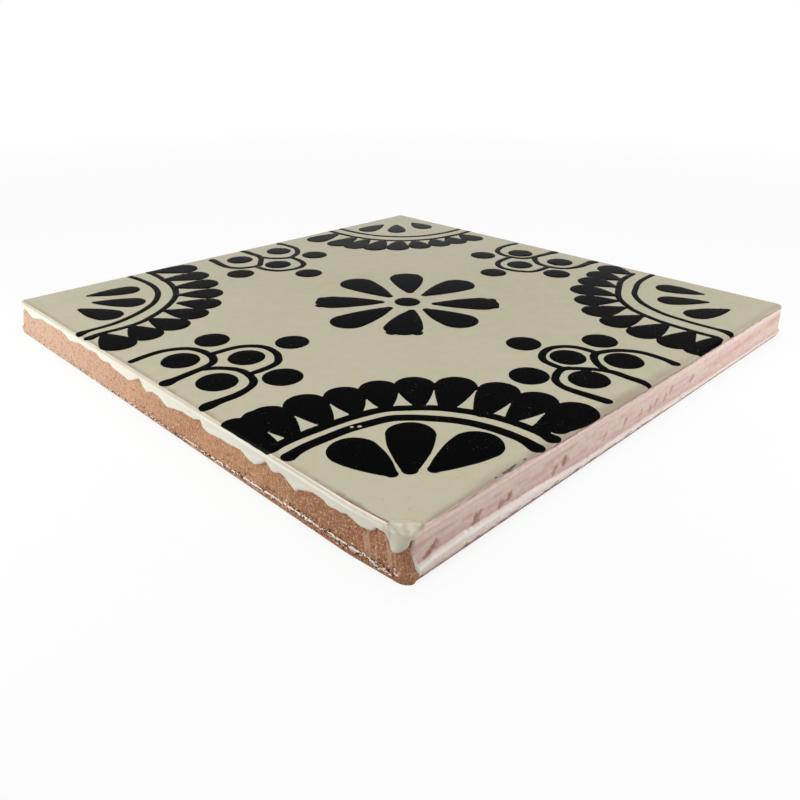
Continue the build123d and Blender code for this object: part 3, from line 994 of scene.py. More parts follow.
def wall_marks(x, z, bead_top, from_start, from_bottom, wave, ragged):
    """How the wall glaze is coloured: scrapes, streak, low pink, whitish bead, glints and brown edge, with
    painted highlights along the top of the wall and on the bead, and painted shade under the bead.
    """
    fleck = np.zeros(x.shape)
    stray = 0.2 * noise_over(x, z, (0.33, 0.33), 37)
    for *mark, width, strength in FLECKS:
        distance = segment_distance(x, z, mark) + stray
        spread, fading = (read_table(FLECK_SOFTNESS, mark[0], column) for column in (1, 2))
        inner, outer = width - 0.04, spread * width + 0.2
        fleck = np.maximum(fleck, fading * strength * smoothstep(outer, inner, distance))

    patchy = 0.5 + 0.5 * smoothstep(-0.7, 0.5, noise_over(x, z, (2.4, 1.2), 38))
    streak = smoothstep(0.95, 0.2, np.abs(z - read_table(STREAK, x) + 0.2 * wave))
    streak = 0.8 * streak * patchy * smoothstep(STREAK_START, STREAK_START + 8, x)

    speckled = smoothstep(0.15, 0.6, noise_over(x, z, (0.5, 0.5), 39))
    drawn = smoothstep(0.0, 0.6, noise_over(x, z, (2.6, 0.38), 46))
    low = smoothstep(bead_top + 1.3, bead_top + 0.1, z) * (0.45 + 0.4 * speckled)
    low = np.maximum(low, 0.5 * drawn) * (1 - 0.6 * smoothstep(10, 25, x))

    on_bead = smoothstep(bead_top + 0.12, bead_top - 0.08, z)
    # Painted highlight: a lighter band along the top of the wall, under the arris
    above = smoothstep(4.6, 5.2, z + 0.15 * wave) * (0.35 + 0.3 * smoothstep(0, 25, x))
    # Painted highlight along the upper part of the bead, strongest near the front corner
    crest_highlight = band(z, bead_top - 0.48, 0.26) * smoothstep(-10, -44, x)
    glints = smoothstep(0.5, 0.7, noise_over(x, z, (0.4, 0.5), 47)) * on_bead
    glints *= smoothstep(-44.5, -43, x) * smoothstep(8, -14, x)
    rim = smoothstep(0.55, 0.15, from_start) * smoothstep(3.7, 3.0, z)
    # Painted light: the bead made lighter along the middle of the wall
    painted_bead_light = on_bead * smoothstep(-42, -30, x) * smoothstep(25, 0, x)
    white = np.max([0.95 * crest_highlight, 0.85 * glints, 0.7 * rim, 0.35 * painted_bead_light], axis=0)

    spots = smoothstep(0.1, 0.4, noise_over(x, z, (0.9, 0.4), 40)) * on_bead
    spots = spots * smoothstep(0.75, 0.35, from_bottom) * smoothstep(20, -5, x)
    # Painted shade on the lower part of the bead, strongest near the front corner
    underside_shade = smoothstep(0.9, 0.1, from_bottom) * read_table(BEAD_UNDERSIDE_SHADE, x)
    burnt = smoothstep(0.3, 0.05, from_bottom + 0.12 * ragged)
    edge = np.max([0.85 * burnt, 0.8 * spots, underside_shade], axis=0)
    return {"fleck": fleck, "streak": streak, "low": low, "bead": np.maximum(0.9 * on_bead, above),
            "white": white, "edge": edge}


def build_wall_glaze(sizes, colours):
    """The thin glaze of the -Y wall with the bead along its foot, its ragged edge and its red scrapes."""
    first, last = LINE.nose + FIRST_COLUMN, LINE.right_start + WALL_WRAP
    columns = LINE.columns(*WALL_STEPS)
    between = (columns > first + END_GAP) & (columns < last - END_GAP)
    columns = np.concatenate([[first], columns[between], [last]])
    count = len(columns)
    heights = np.concatenate([
        np.linspace(0, 1, 24) ** 0.9 * FINE_ROWS_TO, np.linspace(FINE_ROWS_TO, WALL_TOP, 22)[1:]])
    heights = WALL_BOTTOM + (WALL_TOP - WALL_BOTTOM) * heights / WALL_TOP
    ragged = noise_along(columns, 0.7, 31) + 0.7 * noise_over(columns, 1, (0.28, 1), 32)
    bottom = WALL_BOTTOM + 0.05 + 0.09 * ragged
    fade = smoothstep(FINE_ROWS_TO, WALL_BOTTOM, heights)[:, None]
    z = heights[:, None] + (bottom - WALL_BOTTOM) * fade
    start = read_table(WALL_START, z)
    grid_place = columns + (start - FIRST_COLUMN) * np.clip(1 - (columns - first) / 3, 0, 1)
    base, outward = LINE.at(grid_place)
    x = base[..., 0]

    top_wave, top_nick = noise_along(columns, 2.1, 33), noise_along(columns, 0.5, 34)
    bead_top = read_table(BEAD_TOP, x) + 0.07 * top_wave + 0.04 * top_nick
    middle, reach = (bead_top + WALL_BOTTOM) / 2, (bead_top - WALL_BOTTOM) / 2
    flatness, roundness = BEAD_SHAPE
    bulge = np.clip(1 - np.abs((z - middle) / reach) ** flatness, 0, 1) ** roundness
    foot = clay_out(z, np.full(grid_place.shape, LINE.front(0.0))) + OVER_FOOT
    resting = np.maximum(glaze_out(z) - THINNER, foot)
    bead_front = BEAD_OUT - 0.03 * (1 + noise_over(grid_place, z, (1.4, 1.0), 35))
    out = -smooth_min(-resting, -(resting + (bead_front - resting) * bulge), BEAD_BLEND)
    wave = noise_over(grid_place, z, (3.0, 1.3), 36)
    out = np.minimum(out + 0.035 * wave * (1 - bulge), -0.005)
    from_start, from_bottom = grid_place - (LINE.nose + start), z - bottom
    to_end = np.minimum(from_start, last - grid_place)
    full = round_rim(to_end, END_RIM) * round_rim(from_bottom, FOOT_RIM)
    clay = clay_out(z, grid_place)
    out = clay - SUNK + (out - clay + SUNK) * full
    points = np.concatenate([base + outward * out[..., None], z[..., None]], -1)
    inner_top, inner_bottom = (
        np.concatenate([base[row] + outward[row] * depth, z[row][:, None]], -1)
        for row, depth in ((-1, INNER_TOP_OUT), (0, INNER_BOTTOM_OUT)))
    everything = np.vstack([points.reshape(-1, 3), inner_top, inner_bottom])

    rows = len(heights)
    faces = []
    for row in range(rows + 1):
        faces += ring_faces(row * count, (row + 1) * count, count, closed=False)
    faces += ring_faces((rows + 1) * count, 0, count, closed=False)
    near_end = [row * count for row in range(rows + 2)]
    far_end = [row * count + count - 1 for row in range(rows + 2)]
    faces += [(near_end[-1], near_end[i + 1], near_end[i]) for i in range(rows)]
    faces += [(far_end[-1], far_end[i], far_end[i + 1]) for i in range(rows)]

    marks = wall_marks(x, z, bead_top, from_start, from_bottom, wave, ragged)
    attributes = {key: np.concatenate([values.ravel(), np.zeros(2 * count)]) for key, values in marks.items()}
    add_piece("wall_glaze", everything, faces, thin_pink_glaze(colours), attributes, sharp=60)


# Painted ornament

# A stroke runs between two round ends: start, end, their radii, and how far it swells between. A mark is a
# list of strokes laid in one go, and where marks meet, the paint fills the corner between them.
INK_REACH = 0.9            # distances past this are all the same
INK_BLEND = 0.18           # width over which the corner between two marks is filled
INK_SPREAD = 0.08          # how far the paint spread past its strokes in the firing
HAND_WAVE = 2.6            # length of the waves of the hand's wobble
FINE_EDGE = (0.02, 0.5)    # fine unevenness of every edge: how far, and in patches of what size
RAGGED_EDGE = (0.2, 1.2)   # the same for edges that were cut off at an arris or rubbed away
FAR_CUT = 0.08             # how far the paint goes on past the flat at the hidden walls
LEFT_ROLL = 0.5            # how far it goes on over the arris of the -X wall
# And over that of the -Y wall: place along X, and how far
FRONT_ROLL = [(-52, 0.1), (-36, 0.1), (-28, 0.45), (-15, 0.5), (0, 0.6), (25, 0.68), (52, 0.7)]
GRID_STEP = 0.12           # of the grid on which a mark's outline is found
FILM_MARGIN = 1.2          # room round the marks on that grid
# Outlines of a film: how far in, as a share of its rim, and the distance between points there
OUTLINES = ((0, 0.21), (0.35, 0.24), (1, 0.36))
SHORTEST_OUTLINE = 0.7
FILL_SPACING = 0.9         # points inside the outlines, and closer ones along the arrises
ARRIS_SPACING = (0.17, 0.3)
ARRIS_STRIP = 0.5          # how far those reach in over the flat
FILL_MARGIN = 0.12         # how far such points stay clear of the rim
EDGE_SUNK = 0.02           # how far the film's edge and its underside are sunk in the cream glaze
FILM_SUNK = 0.06


def dot(x, y, radius):
    """A round dab of paint."""
    return [((x, y), (x, y), radius, radius, 0.0)]


def drop_mark(narrow, narrow_radius, wide, wide_radius, fullness=0.0):
    """A petal or a teardrop: a stroke that widens to a round end."""
    return [(narrow, wide, narrow_radius, wide_radius, fullness)]


def smoothed(points, steps=4):
    """A smooth line through points, each with its own radius as a third value."""
    points = np.array(points, float)
    padded = np.vstack([2 * points[0] - points[1], points, 2 * points[-1] - points[-2]])
    found = []
    for a, b, c, d in zip(padded, padded[1:], padded[2:], padded[3:]):
        for share in np.arange(steps) / steps:
            found.append(b + 0.5 * share * (c - a + share * (2 * a - 5 * b + 4 * c - d
                         + share * (3 * (b - c) + d - a))))
    return np.array(found + [points[-1]])


def line_mark(points, width):
    """A line of one width through points. A point with a third value has its own radius there."""
    line = smoothed([tuple(point) if len(point) == 3 else (*point, width / 2) for point in points])
    return [((a[0], a[1]), (b[0], b[1]), a[2], b[2], 0.0) for a, b in zip(line, line[1:])]


def ink_distance(places, marks, gaps, wobble):
    """Signed distance to the nearest mark, negative inside. Gaps are discs that the paint has come off."""
    stray = np.stack([smooth_noise(places / HAND_WAVE, seed) for seed in (41, 42)], -1)
    moved = places + wobble * stray
    nearest = np.full(len(places), INK_REACH)
    for mark in marks:
        own = np.full(len(places), INK_REACH)
        for start, end, start_radius, end_radius, fullness in mark:
            start, end = np.array(start), np.array(end)
            reach = max(start_radius, end_radius) + fullness + INK_REACH
            low, high = np.minimum(start, end) - reach, np.maximum(start, end) + reach
            close = np.flatnonzero(np.all((moved > low) & (moved < high), axis=1))
            offset, along = moved[close] - start, end - start
            share = np.clip(offset @ along / max(along @ along, 1e-9), 0, 1)
            radius = start_radius + (end_radius - start_radius) * share + fullness * 4 * share * (1 - share)
            distance = np.linalg.norm(offset - share[:, None] * along, axis=1) - radius - INK_SPREAD
            own[close] = np.minimum(own[close], distance)
        close = own < INK_REACH
        nearest[close] = smooth_min(nearest[close], own[close], INK_BLEND)
    nearest += FINE_EDGE[0] * smooth_noise(places / FINE_EDGE[1], 43)
    ragged = RAGGED_EDGE[0] * smooth_noise(places / RAGGED_EDGE[1], 44)
    x, y = places[:, 0], places[:, 1]
    past_far = np.maximum(x, y) - FLAT - FAR_CUT + 0.5 * ragged
    past_left = -FLAT - LEFT_ROLL - x + 0.2 * ragged
    past_front = -FLAT - read_table(FRONT_ROLL, x) - y + 0.3 * ragged
    nearest = np.max([nearest, past_far, past_left, past_front], axis=0)
    for gap_x, gap_y, radius in gaps:
        nearest = np.maximum(nearest, radius - np.hypot(x - gap_x, y - gap_y) + ragged)
    return nearest


def outline_loops(field, level):
    """Closed loops, in grid steps, where a sampled field passes a level."""
    inside = field < level
    corners = [inside[:-1, :-1], inside[:-1, 1:], inside[1:, 1:], inside[1:, :-1]]
    total = sum(corner.astype(int) for corner in corners)
    links = {}
    for j, i in zip(*(axis.tolist() for axis in np.nonzero((total > 0) & (total < 4)))):
        signs = [bool(corner[j, i]) for corner in corners]
        edges = [(j, i, 0), (j, i + 1, 1), (j + 1, i, 0), (j, i, 1)]
        crossed = [edges[k] for k in range(4) if signs[k] != signs[(k + 1) % 4]]
        if len(crossed) == 4:
            centre = field[j:j + 2, i:i + 2].mean() < level
            if centre != signs[0]:
                crossed = [crossed[3]] + crossed[:3]
        for a, b in zip(crossed[::2], crossed[1::2]):
            links.setdefault(a, []).append(b)
            links.setdefault(b, []).append(a)
    loops = []
    while links:
        first = next(iter(links))
        walked, here = [first], links[first][0]
        previous = first
        while here != first:
            walked.append(here)
            neighbours = links[here]
            following = neighbours[1] if neighbours[0] == previous else neighbours[0]
            previous, here = here, following
        for key in walked:
            del links[key]
        loop = []
        for j, i, upright in walked:
            a, b = field[j, i], field[j + upright, i + 1 - upright]
            share = (level - a) / (b - a)
            loop.append((i + share * (1 - upright), j + share * upright))
        loops.append(np.array(loop))
    return loops


def resampled(loop, spacing):
    """A closed loop with its points set at equal distances."""
    closed = np.vstack([loop, loop[:1]])
    along = np.concatenate([[0], np.cumsum(np.linalg.norm(np.diff(closed, axis=0), axis=1))])
    count = max(6, round(along[-1] / spacing))
    wanted = np.arange(count) * along[-1] / count
    return np.column_stack([np.interp(wanted, along, closed[:, axis]) for axis in (0, 1)]), along[-1]


def on_face(x, y, lift, swell_height):
    """Points over the glazed face. Past the flat, at -X or at -Y, they roll over the arris."""
    left_angle, front_angle = (np.maximum(-FLAT - values, 0) / ARRIS for values in (x, y))
    flat_x, flat_y = np.maximum(x, -FLAT), np.maximum(y, -FLAT)
    height = FACE + swell_height * face_swell(flat_x, flat_y)
    reach = ARRIS + lift
    return np.column_stack([
        flat_x - reach * np.sin(left_angle), flat_y - reach * np.sin(front_angle),
        height - ARRIS + reach * np.cos(left_angle + front_angle)])


def film_box(marks):
    """The lowest and highest corners of a grid that holds the marks, kept near the tile."""
    strokes = [stroke for mark in marks for stroke in mark]
    ends = np.array([stroke[0] for stroke in strokes] + [stroke[1] for stroke in strokes])
    reach = max(max(stroke[2:4]) for stroke in strokes) + FILM_MARGIN
    return np.maximum(ends.min(axis=0) - reach, -HALF - 1), np.minimum(ends.max(axis=0) + reach, HALF + 1)


def film_outlines(ink, low, high, rim):
    """The paint's outline, and lines along its rim: their points, and the point numbers of each loop."""
    nx, ny = (np.ceil((high - low) / GRID_STEP).astype(int) + 1)
    xs, ys = np.meshgrid(low[0] + GRID_STEP * np.arange(nx), low[1] + GRID_STEP * np.arange(ny))
    field = ink(np.column_stack([xs.ravel(), ys.ravel()])).reshape(ny, nx)
    points, loops, start = [], [], 0
    for share, spacing in OUTLINES:
        for loop in outline_loops(field, -share * rim):
            loop, length = resampled(low + loop * GRID_STEP, spacing)
            if length > SHORTEST_OUTLINE:
                points.append(loop)
                loops.append(start + np.arange(len(loop)))
                start += len(loop)
    return points, loops


def film_filling(low, high):
    """Points in a box of the face: an even grid on the flat, and closer rows along the two seen arrises."""
    on_flat = grid_inside(HALF, FILL_SPACING, 45)
    on_flat = on_flat[on_flat.min(axis=1) > ARRIS_STRIP - FLAT]
    across = np.arange(-HALF, ARRIS_STRIP - FLAT, ARRIS_SPACING[0])
    along = np.arange(0.7 - FLAT, HALF, ARRIS_SPACING[1])
    left_strip = np.stack(np.meshgrid(across, along), -1).reshape(-1, 2)
    filling = np.vstack([on_flat, left_strip, left_strip[:, ::-1]])
    return filling[np.all((filling > low) & (filling < high), axis=1)]


def painted_film(name, marks, material, sizes, gaps=()):
    """A film of painted glaze over marks: closed, thin, and rounded down to the face at its rim."""
    wobble, swell = sizes.hand_wobble / MM, sizes.swell_height / MM
    rim, film_height = sizes.film_rim / MM, sizes.film_height / MM

    def ink(places):
        """Signed distance from places on the face to this film's edge, negative inside."""
        return ink_distance(places, marks, gaps, wobble)

    low, high = film_box(marks)
    points, loops = film_outlines(ink, low, high, rim)
    filling = film_filling(low, high)
    filling = filling[ink(filling) < -rim - FILL_MARGIN]
    places, triangles, _ = triangulated(np.vstack(points + [filling]), loops)
    triangles = triangles[ink(places[triangles].mean(axis=1)) < 0]
    turn = counter_clockwise(*(places[triangles[:, i]] for i in range(3)))
    triangles[turn < 0] = triangles[turn < 0][:, ::-1]
    used, triangles = np.unique(triangles, return_inverse=True)
    triangles = triangles.reshape(-1, 3)
    places = places[used]

    edges = np.vstack([triangles[:, [0, 1]], triangles[:, [1, 2]], triangles[:, [2, 0]]])
    _, first_seen, seen = np.unique(np.sort(edges, axis=1), axis=0, return_index=True, return_counts=True)
    outer = np.zeros(len(places), bool)
    outer[edges[first_seen[seen == 1]].ravel()] = True
    lift = np.where(outer, -EDGE_SUNK, film_height * round_rim(-ink(places), rim))
    top = on_face(places[:, 0], places[:, 1], lift, swell)
    inside = places[~outer]
    below = on_face(inside[:, 0], inside[:, 1], np.full(len(inside), -FILM_SUNK), swell)
    under_number = np.arange(len(places))
    under_number[~outer] = len(places) + np.arange(len(inside))
    faces = triangles.tolist() + under_number[triangles[:, ::-1]].tolist()
    return add_piece(name, np.vstack([top, below]), faces, material, sharp=70)


# The daisy in the middle: its petals from the narrow to the round end, and the corners of the blunt ones
DAISY_EYE = (0.9, -0.6, 2.4)
DAISY_PETALS = [
    ((0.7, 4.2), (1.4, 14.1), 3.55, []),
    ((5.5, 3.2), (11.2, 9.7), 3.45, [(11.2, 12.3), (13.9, 9.9)]),
    ((6.3, -0.2), (15.5, -0.6), 3.55, []),
    ((4.0, -5.1), (10.3, -11.2), 3.35, [(10.7, -13.9), (13.2, -11.2)]),
    ((0.3, -6.2), (0.3, -14.1), 3.55, []),
    ((-2.2, -4.7), (-9.3, -9.6), 3.45, [(-9.3, -13.0), (-12.4, -9.8)]),
    ((-4.1, -0.7), (-14.0, -0.7), 3.45, []),
    ((-2.9, 2.9), (-9.5, 9.2), 3.25, [(-9.8, 11.9), (-12.3, 9.4)]),
]

# Clusters of dots under arches, one at the middle of each side. A dot is its centre and radius.
ARCH_WIDTH = 1.2
WEST_DOTS = [(-44.5, 4.9, 3.0), (-44.7, -5.8, 3.1), (-36.3, 8.8, 2.9), (-36.4, -1.3, 2.9),
             (-36.7, -11.2, 3.05), (-27.3, -1.3, 2.8)]
WEST_ARCHES = [
    [(-50.1, 9.9), (-47.4, 10.35), (-44.7, 10.3), (-42.3, 9.35), (-40.75, 7.85), (-40.1, 6.1), (-39.95, 4.4),
     (-40.2, 2.4), (-41.3, 0.75), (-43.3, 0.05), (-46.1, -0.35, 0.7), (-48.6, -0.7, 0.75),
     (-50.2, -0.9, 1.1)],
    [(-43.5, -0.5), (-41.9, -1.6), (-40.6, -3.2), (-39.9, -4.7), (-39.8, -6.7), (-40.3, -8.7),
     (-41.3, -10.15), (-42.7, -10.9), (-45.2, -11.5, 0.75), (-48.0, -11.45, 0.82), (-50.0, -11.6, 1.05),
     (-51.0, -12.2, 0.4)],
    [(-39.8, 3.75), (-37.4, 3.6), (-35.2, 3.3), (-33.5, 2.45), (-32.2, 0.95), (-31.7, -0.8), (-31.9, -3.1),
     (-32.9, -5.0), (-34.1, -6.3), (-35.8, -6.8), (-38.0, -6.9), (-39.7, -6.8)],
]
SOUTH_DOTS = [(-0.05, -28.7, 2.9), (-9.8, -36.9, 3.05), (0.4, -37.1, 2.9), (10.15, -37.0, 2.95),
              (-4.4, -44.0, 3.1), (5.6, -44.1, 3.1)]
SOUTH_ARCHES = [
    [(-3.85, -38.5), (-3.85, -36.9), (-3.5, -35.3), (-2.5, -34.05), (-0.7, -33.2), (1.5, -33.0), (3.4, -33.9),
     (4.6, -35.2), (5.15, -36.9), (5.3, -38.9)],
    [(-3.1, -39.5), (-4.4, -39.05), (-6.3, -39.5), (-8.1, -40.5), (-9.25, -42.4), (-9.4, -44.4, 0.7),
     (-9.1, -47.2, 0.75), (-8.85, -49.7, 0.82)],
    [(-3.1, -39.6), (-1.4, -41.6), (0.0, -43.6), (0.55, -45.6, 0.7), (0.45, -47.8, 0.7), (0.5, -50.0, 0.72),
     (-0.2, -52.0, 0.4)],
    [(0.5, -43.8), (1.4, -42.0), (2.9, -40.4), (4.7, -39.4), (6.4, -39.85), (8.5, -41.1), (10.1, -43.2),
     (10.75, -45.0), (10.85, -47.2), (10.7, -48.9), (10.35, -50.4, 0.8)],
]
EAST_DOTS = [(36.4, 9.7, 2.8), (27.6, -0.3, 2.75), (36.4, -0.8, 2.8), (44.0, 4.7, 2.8), (44.5, -5.8, 2.8),
             (36.7, -10.3, 2.8)]
EAST_SHIFT = (0.0, 0.7)
NORTH_DOTS = [(-6.0, 45.3, 2.8), (4.6, 45.1, 2.8), (-11.8, 36.5, 2.8), (-2.0, 36.5, 2.8), (8.6, 36.8, 2.8),
              (-1.2, 26.8, 2.8)]
NORTH_SHIFT = (-1.7, -0.3)
NORTH_ARCH = [(-6.3, 38.2), (-6.3, 36.2), (-5.8, 34.3), (-4.6, 32.6), (-2.4, 31.6), (0.0, 31.4), (2.0, 32.5),
              (3.0, 34.2), (3.4, 36.2), (3.5, 38.4)]

# Medallions in the corners: two rings, petals that stand on the outer ring, and three teardrops inside. A
# ring is its points and its width, and a petal or a teardrop its two ends and their radii.
SW_RINGS = [
    ([(-51.0, -27.3), (-48.0, -27.0), (-45.0, -27.1), (-40.0, -27.63), (-36.3, -28.3), (-33.05, -29.45),
      (-30.25, -31.6), (-27.6, -34.2), (-25.5, -37.5), (-24.0, -41.2), (-23.25, -45.0), (-23.1, -48.5),
      (-23.3, -50.4, 1.1)], 1.5),
    ([(-26.7, -50.4, 1.05), (-26.2, -47.9), (-26.4, -44.9), (-27.05, -41.7), (-28.3, -38.7), (-30.05, -36.15),
      (-32.15, -33.65), (-34.25, -31.95), (-37.0, -31.0), (-40.0, -30.25), (-43.0, -29.95), (-46.5, -29.7),
      (-48.6, -29.85), (-50.2, -30.2, 0.97)], 1.6),
]
SW_PETALS = [
    ((-50.6, -26.5), 1.6, (-50.3, -19.2), 2.2), ((-46.4, -26.0), 1.3, (-45.5, -19.95), 2.95),
    ((-46.0, -21.0), 2.0, (-46.9, -19.2), 2.2), ((-41.2, -26.6), 1.2, (-39.9, -20.7), 3.2),
    ((-36.5, -27.4), 1.0, (-34.25, -22.5), 3.0), ((-32.5, -29.1), 0.9, (-29.3, -24.35), 2.95),
    ((-28.8, -32.0), 0.85, (-24.7, -27.1), 3.0), ((-26.35, -35.0), 1.15, (-20.4, -31.45), 3.15),
    ((-24.2, -39.5), 1.25, (-17.3, -37.0), 3.1), ((-22.8, -43.4), 0.95, (-16.0, -42.8), 3.1),
    ((-21.6, -47.9), 1.4, (-14.9, -48.5), 3.15), ((-20.6, -49.5), 1.3, (-15.0, -49.0), 2.8),
    ((-51.5, -24.5), 1.3, (-51.2, -19.8), 1.4),
]
SW_TEARS = [((-43.85, -41.75), 0.8, (-43.6, -34.85), 3.4), ((-41.7, -42.7), 1.0, (-35.5, -36.85), 3.3),
            ((-39.5, -44.65), 0.8, (-31.4, -44.6), 3.5)]
SW_GAPS = [(-39.6, -30.0, 0.22), (-38.8, -30.6, 0.16)]
SE_RINGS = [
    ([(25.9, -50.2), (25.7, -46.3), (25.7, -43.3), (26.0, -40.3), (26.7, -37.0), (28.0, -33.3), (29.3, -31.3),
      (31.7, -28.3), (35.0, -26.0), (38.3, -24.3), (41.7, -22.7), (45.0, -22.0), (48.5, -21.7)], 1.15),
    ([(51.0, -25.0), (46.7, -25.2), (43.7, -25.7), (40.3, -27.0), (36.7, -28.7), (33.7, -31.3), (31.7, -34.3),
      (30.2, -38.3), (29.7, -41.7), (29.5, -45.0), (29.6, -48.3), (29.5, -50.4, 0.8),
      (28.3, -52.0, 0.5)], 1.05),
]
SE_PETALS = [
    ((25.3, -50.6), 0.9, (18.3, -50.4), 2.35), ((25.0, -46.1), 0.8, (18.7, -46.2), 3.0),
    ((25.2, -41.2), 0.8, (19.1, -40.3), 3.05), ((25.8, -35.8), 0.8, (20.3, -34.3), 3.05),
    ((27.6, -31.2), 0.8, (22.8, -29.1), 3.15), ((30.1, -28.2), 0.8, (27.0, -24.7), 3.15),
    ((32.9, -26.4), 0.8, (31.9, -20.7), 3.25), ((37.8, -23.5), 0.8, (37.6, -18.9), 3.25),
    ((42.7, -22.0), 0.8, (42.5, -17.7), 3.15), ((47.8, -21.2), 0.8, (48.0, -16.9), 3.05),
]
SE_TEARS = [((41.0, -45.6), 0.5, (34.5, -42.8), 2.55), ((42.3, -40.9), 0.5, (38.1, -35.6), 2.45),
            ((46.2, -38.2), 0.5, (44.7, -31.9), 2.55)]
NW_RINGS = [
    ([(-25.3, 51.0), (-25.2, 47.7), (-25.5, 43.7), (-26.0, 40.3), (-27.0, 37.0), (-29.0, 33.3), (-31.7, 30.3),
      (-34.7, 28.0), (-38.0, 26.0), (-41.0, 24.7), (-44.7, 24.3), (-48.3, 24.5), (-50.6, 23.8, 0.9)], 1.15),
    ([(-29.5, 51.0), (-29.0, 47.0), (-29.0, 43.7), (-29.5, 40.3), (-30.7, 37.0), (-32.7, 34.0), (-35.0, 31.7),
      (-38.3, 29.7), (-41.7, 28.2), (-45.0, 27.3), (-49.0, 27.2), (-50.6, 26.9, 0.85),
      (-51.3, 25.9, 0.3)], 1.1),
]
NW_PETALS = [
    ((-48.2, 23.5), 0.8, (-48.3, 18.3), 3.05), ((-43.0, 23.6), 0.8, (-42.9, 19.0), 3.0),
    ((-38.7, 24.6), 0.8, (-37.3, 19.8), 3.0), ((-34.4, 26.6), 0.8, (-32.0, 22.3), 3.0),
    ((-30.4, 28.9), 0.8, (-27.4, 25.3), 3.05), ((-27.8, 33.0), 0.8, (-23.8, 30.2), 3.05),
    ((-26.3, 37.9), 0.8, (-21.3, 35.9), 3.05), ((-25.4, 43.7), 0.8, (-19.7, 41.9), 3.05),
    ((-24.8, 50.6), 0.8, (-18.9, 48.0), 3.15),
]
NW_TEARS = [((-45.6, 38.6), 0.5, (-43.3, 32.2), 2.7), ((-42.0, 40.5), 0.5, (-37.0, 35.6), 2.55),
            ((-41.0, 44.9), 0.5, (-34.2, 42.9), 2.45)]
NE_RINGS = [
    ([(25.5, 51.0), (25.6, 47.0), (26.3, 42.0), (27.8, 37.5), (30.5, 33.3), (34.0, 30.2), (38.5, 27.9),
      (43.0, 26.7), (47.5, 26.2), (51.0, 26.3)], 1.15),
    ([(29.0, 51.0), (29.1, 47.5), (29.8, 43.0), (31.3, 39.0), (33.8, 35.4), (37.0, 32.6), (41.0, 30.7),
      (45.0, 29.8), (48.5, 29.5), (51.0, 29.6)], 1.1),
]
NE_PETALS = [
    ((24.9, 47.9), 0.8, (18.1, 47.0), 2.8), ((25.7, 42.0), 0.8, (19.2, 40.6), 2.75),
    ((26.6, 38.3), 0.8, (20.6, 36.2), 2.75), ((28.7, 34.9), 0.8, (23.0, 31.9), 2.8),
    ((31.3, 31.6), 0.8, (27.0, 28.3), 2.8), ((34.1, 29.3), 0.8, (31.8, 25.6), 2.75),
    ((38.3, 27.2), 0.8, (36.7, 23.6), 2.75), ((42.4, 26.0), 0.8, (41.3, 22.3), 2.75),
    ((47.0, 25.4), 0.8, (46.4, 21.5), 2.8),
]
NE_TEARS = [((39.7, 46.7), 0.5, (33.6, 45.7), 2.4), ((42.2, 43.8), 0.55, (38.2, 39.7), 2.3),
            ((47.1, 42.5), 0.5, (46.0, 37.9), 2.4)]
PETAL_FULLNESS = 0.22      # how far a petal's and a teardrop's sides swell
TEAR_FULLNESS = 0.42
DAISY_FULLNESS = 0.45
BLUNT_SHARE = 0.6          # radius of a blunt petal's corners, at its end and at the corner itself
BLUNT_RADIUS = 1.0
EYE_RADIUS = 0.75          # radius of a daisy petal's narrow end
# Paint that was rubbed off on the edge of the face beside the -Y wall
SMEARS = [((-34.4, -51.0), 0.1, (-33.4, -51.05), 0.14), ((-33.4, -51.05), 0.14, (-31.7, -50.85), 0.07),
          ((-35.8, -51.0), 0.1, (-35.6, -51.0), 0.09), ((-30.2, -50.95), 0.07, (-29.8, -50.9), 0.08)]


def shifted(marks, mirror, shift):
    """Lines mirrored along X or Y, and moved."""
    return [[(x * mirror[0] + shift[0], y * mirror[1] + shift[1], *radius) for x, y, *radius in points]
            for points in marks]


def cluster_marks(dots, arches):
    """The marks of one cluster: its dots and the arches over them."""
    return [dot(*each) for each in dots] + [line_mark(points, ARCH_WIDTH) for points in arches]


def medallion_marks(rings, petals, tears):
    """The marks of one medallion."""
    marks = [line_mark(*ring) for ring in rings]
    marks += [drop_mark(*petal, fullness=PETAL_FULLNESS) for petal in petals]
    marks += [drop_mark(*tear, fullness=TEAR_FULLNESS) for tear in tears]
    return marks


def daisy_marks():
    """The marks of the daisy: an eye and eight petals."""
    marks = [dot(*DAISY_EYE)]
    for narrow, wide, radius, blunt in DAISY_PETALS:
        petal = drop_mark(narrow, EYE_RADIUS, wide, radius, fullness=DAISY_FULLNESS)
        for corner in blunt:
            petal += drop_mark(wide, radius * BLUNT_SHARE, corner, BLUNT_RADIUS)
        marks.append(petal)
    return marks


# Crumbs and grit

LUMP_SEED = 51
LUMP_ROUGHNESS = 0.28      # how uneven a lump is, as a share of its size
FOOT_GRIT = 170            # dark grains in the foot of the -X wall
CRUMB_DEPTH = 0.05         # half size of a crumb across the wall
CRUMB_OUT = -0.03          # where its middle is from the wall, and the furthest out that it may be
CRUMB_LIMIT = -0.075
CRUMBS_FROM = 50.0         # place along Y where the line of crumbs starts
CRUMBS_END = 1.6           # and how far before the middle of the nose it ends
# Grit under the bead: distances between grains, heights, and sizes
BEAD_GRIT = ((0.15, 1.1), (0.28, 0.62), (0.04, 0.1))


def unit_lump():
    """The points and triangles of a small round lump."""
    mesh = bpy.data.meshes.new("lump")
    shape = bmesh.new()
    bmesh.ops.create_icosphere(shape, subdivisions=2, radius=1.0)
    shape.to_mesh(mesh)
    shape.free()
    points = np.array([v.co[:] for v in mesh.vertices])
    faces = np.array([p.vertices[:] for p in mesh.polygons])
    bpy.data.meshes.remove(mesh)
    return points, faces


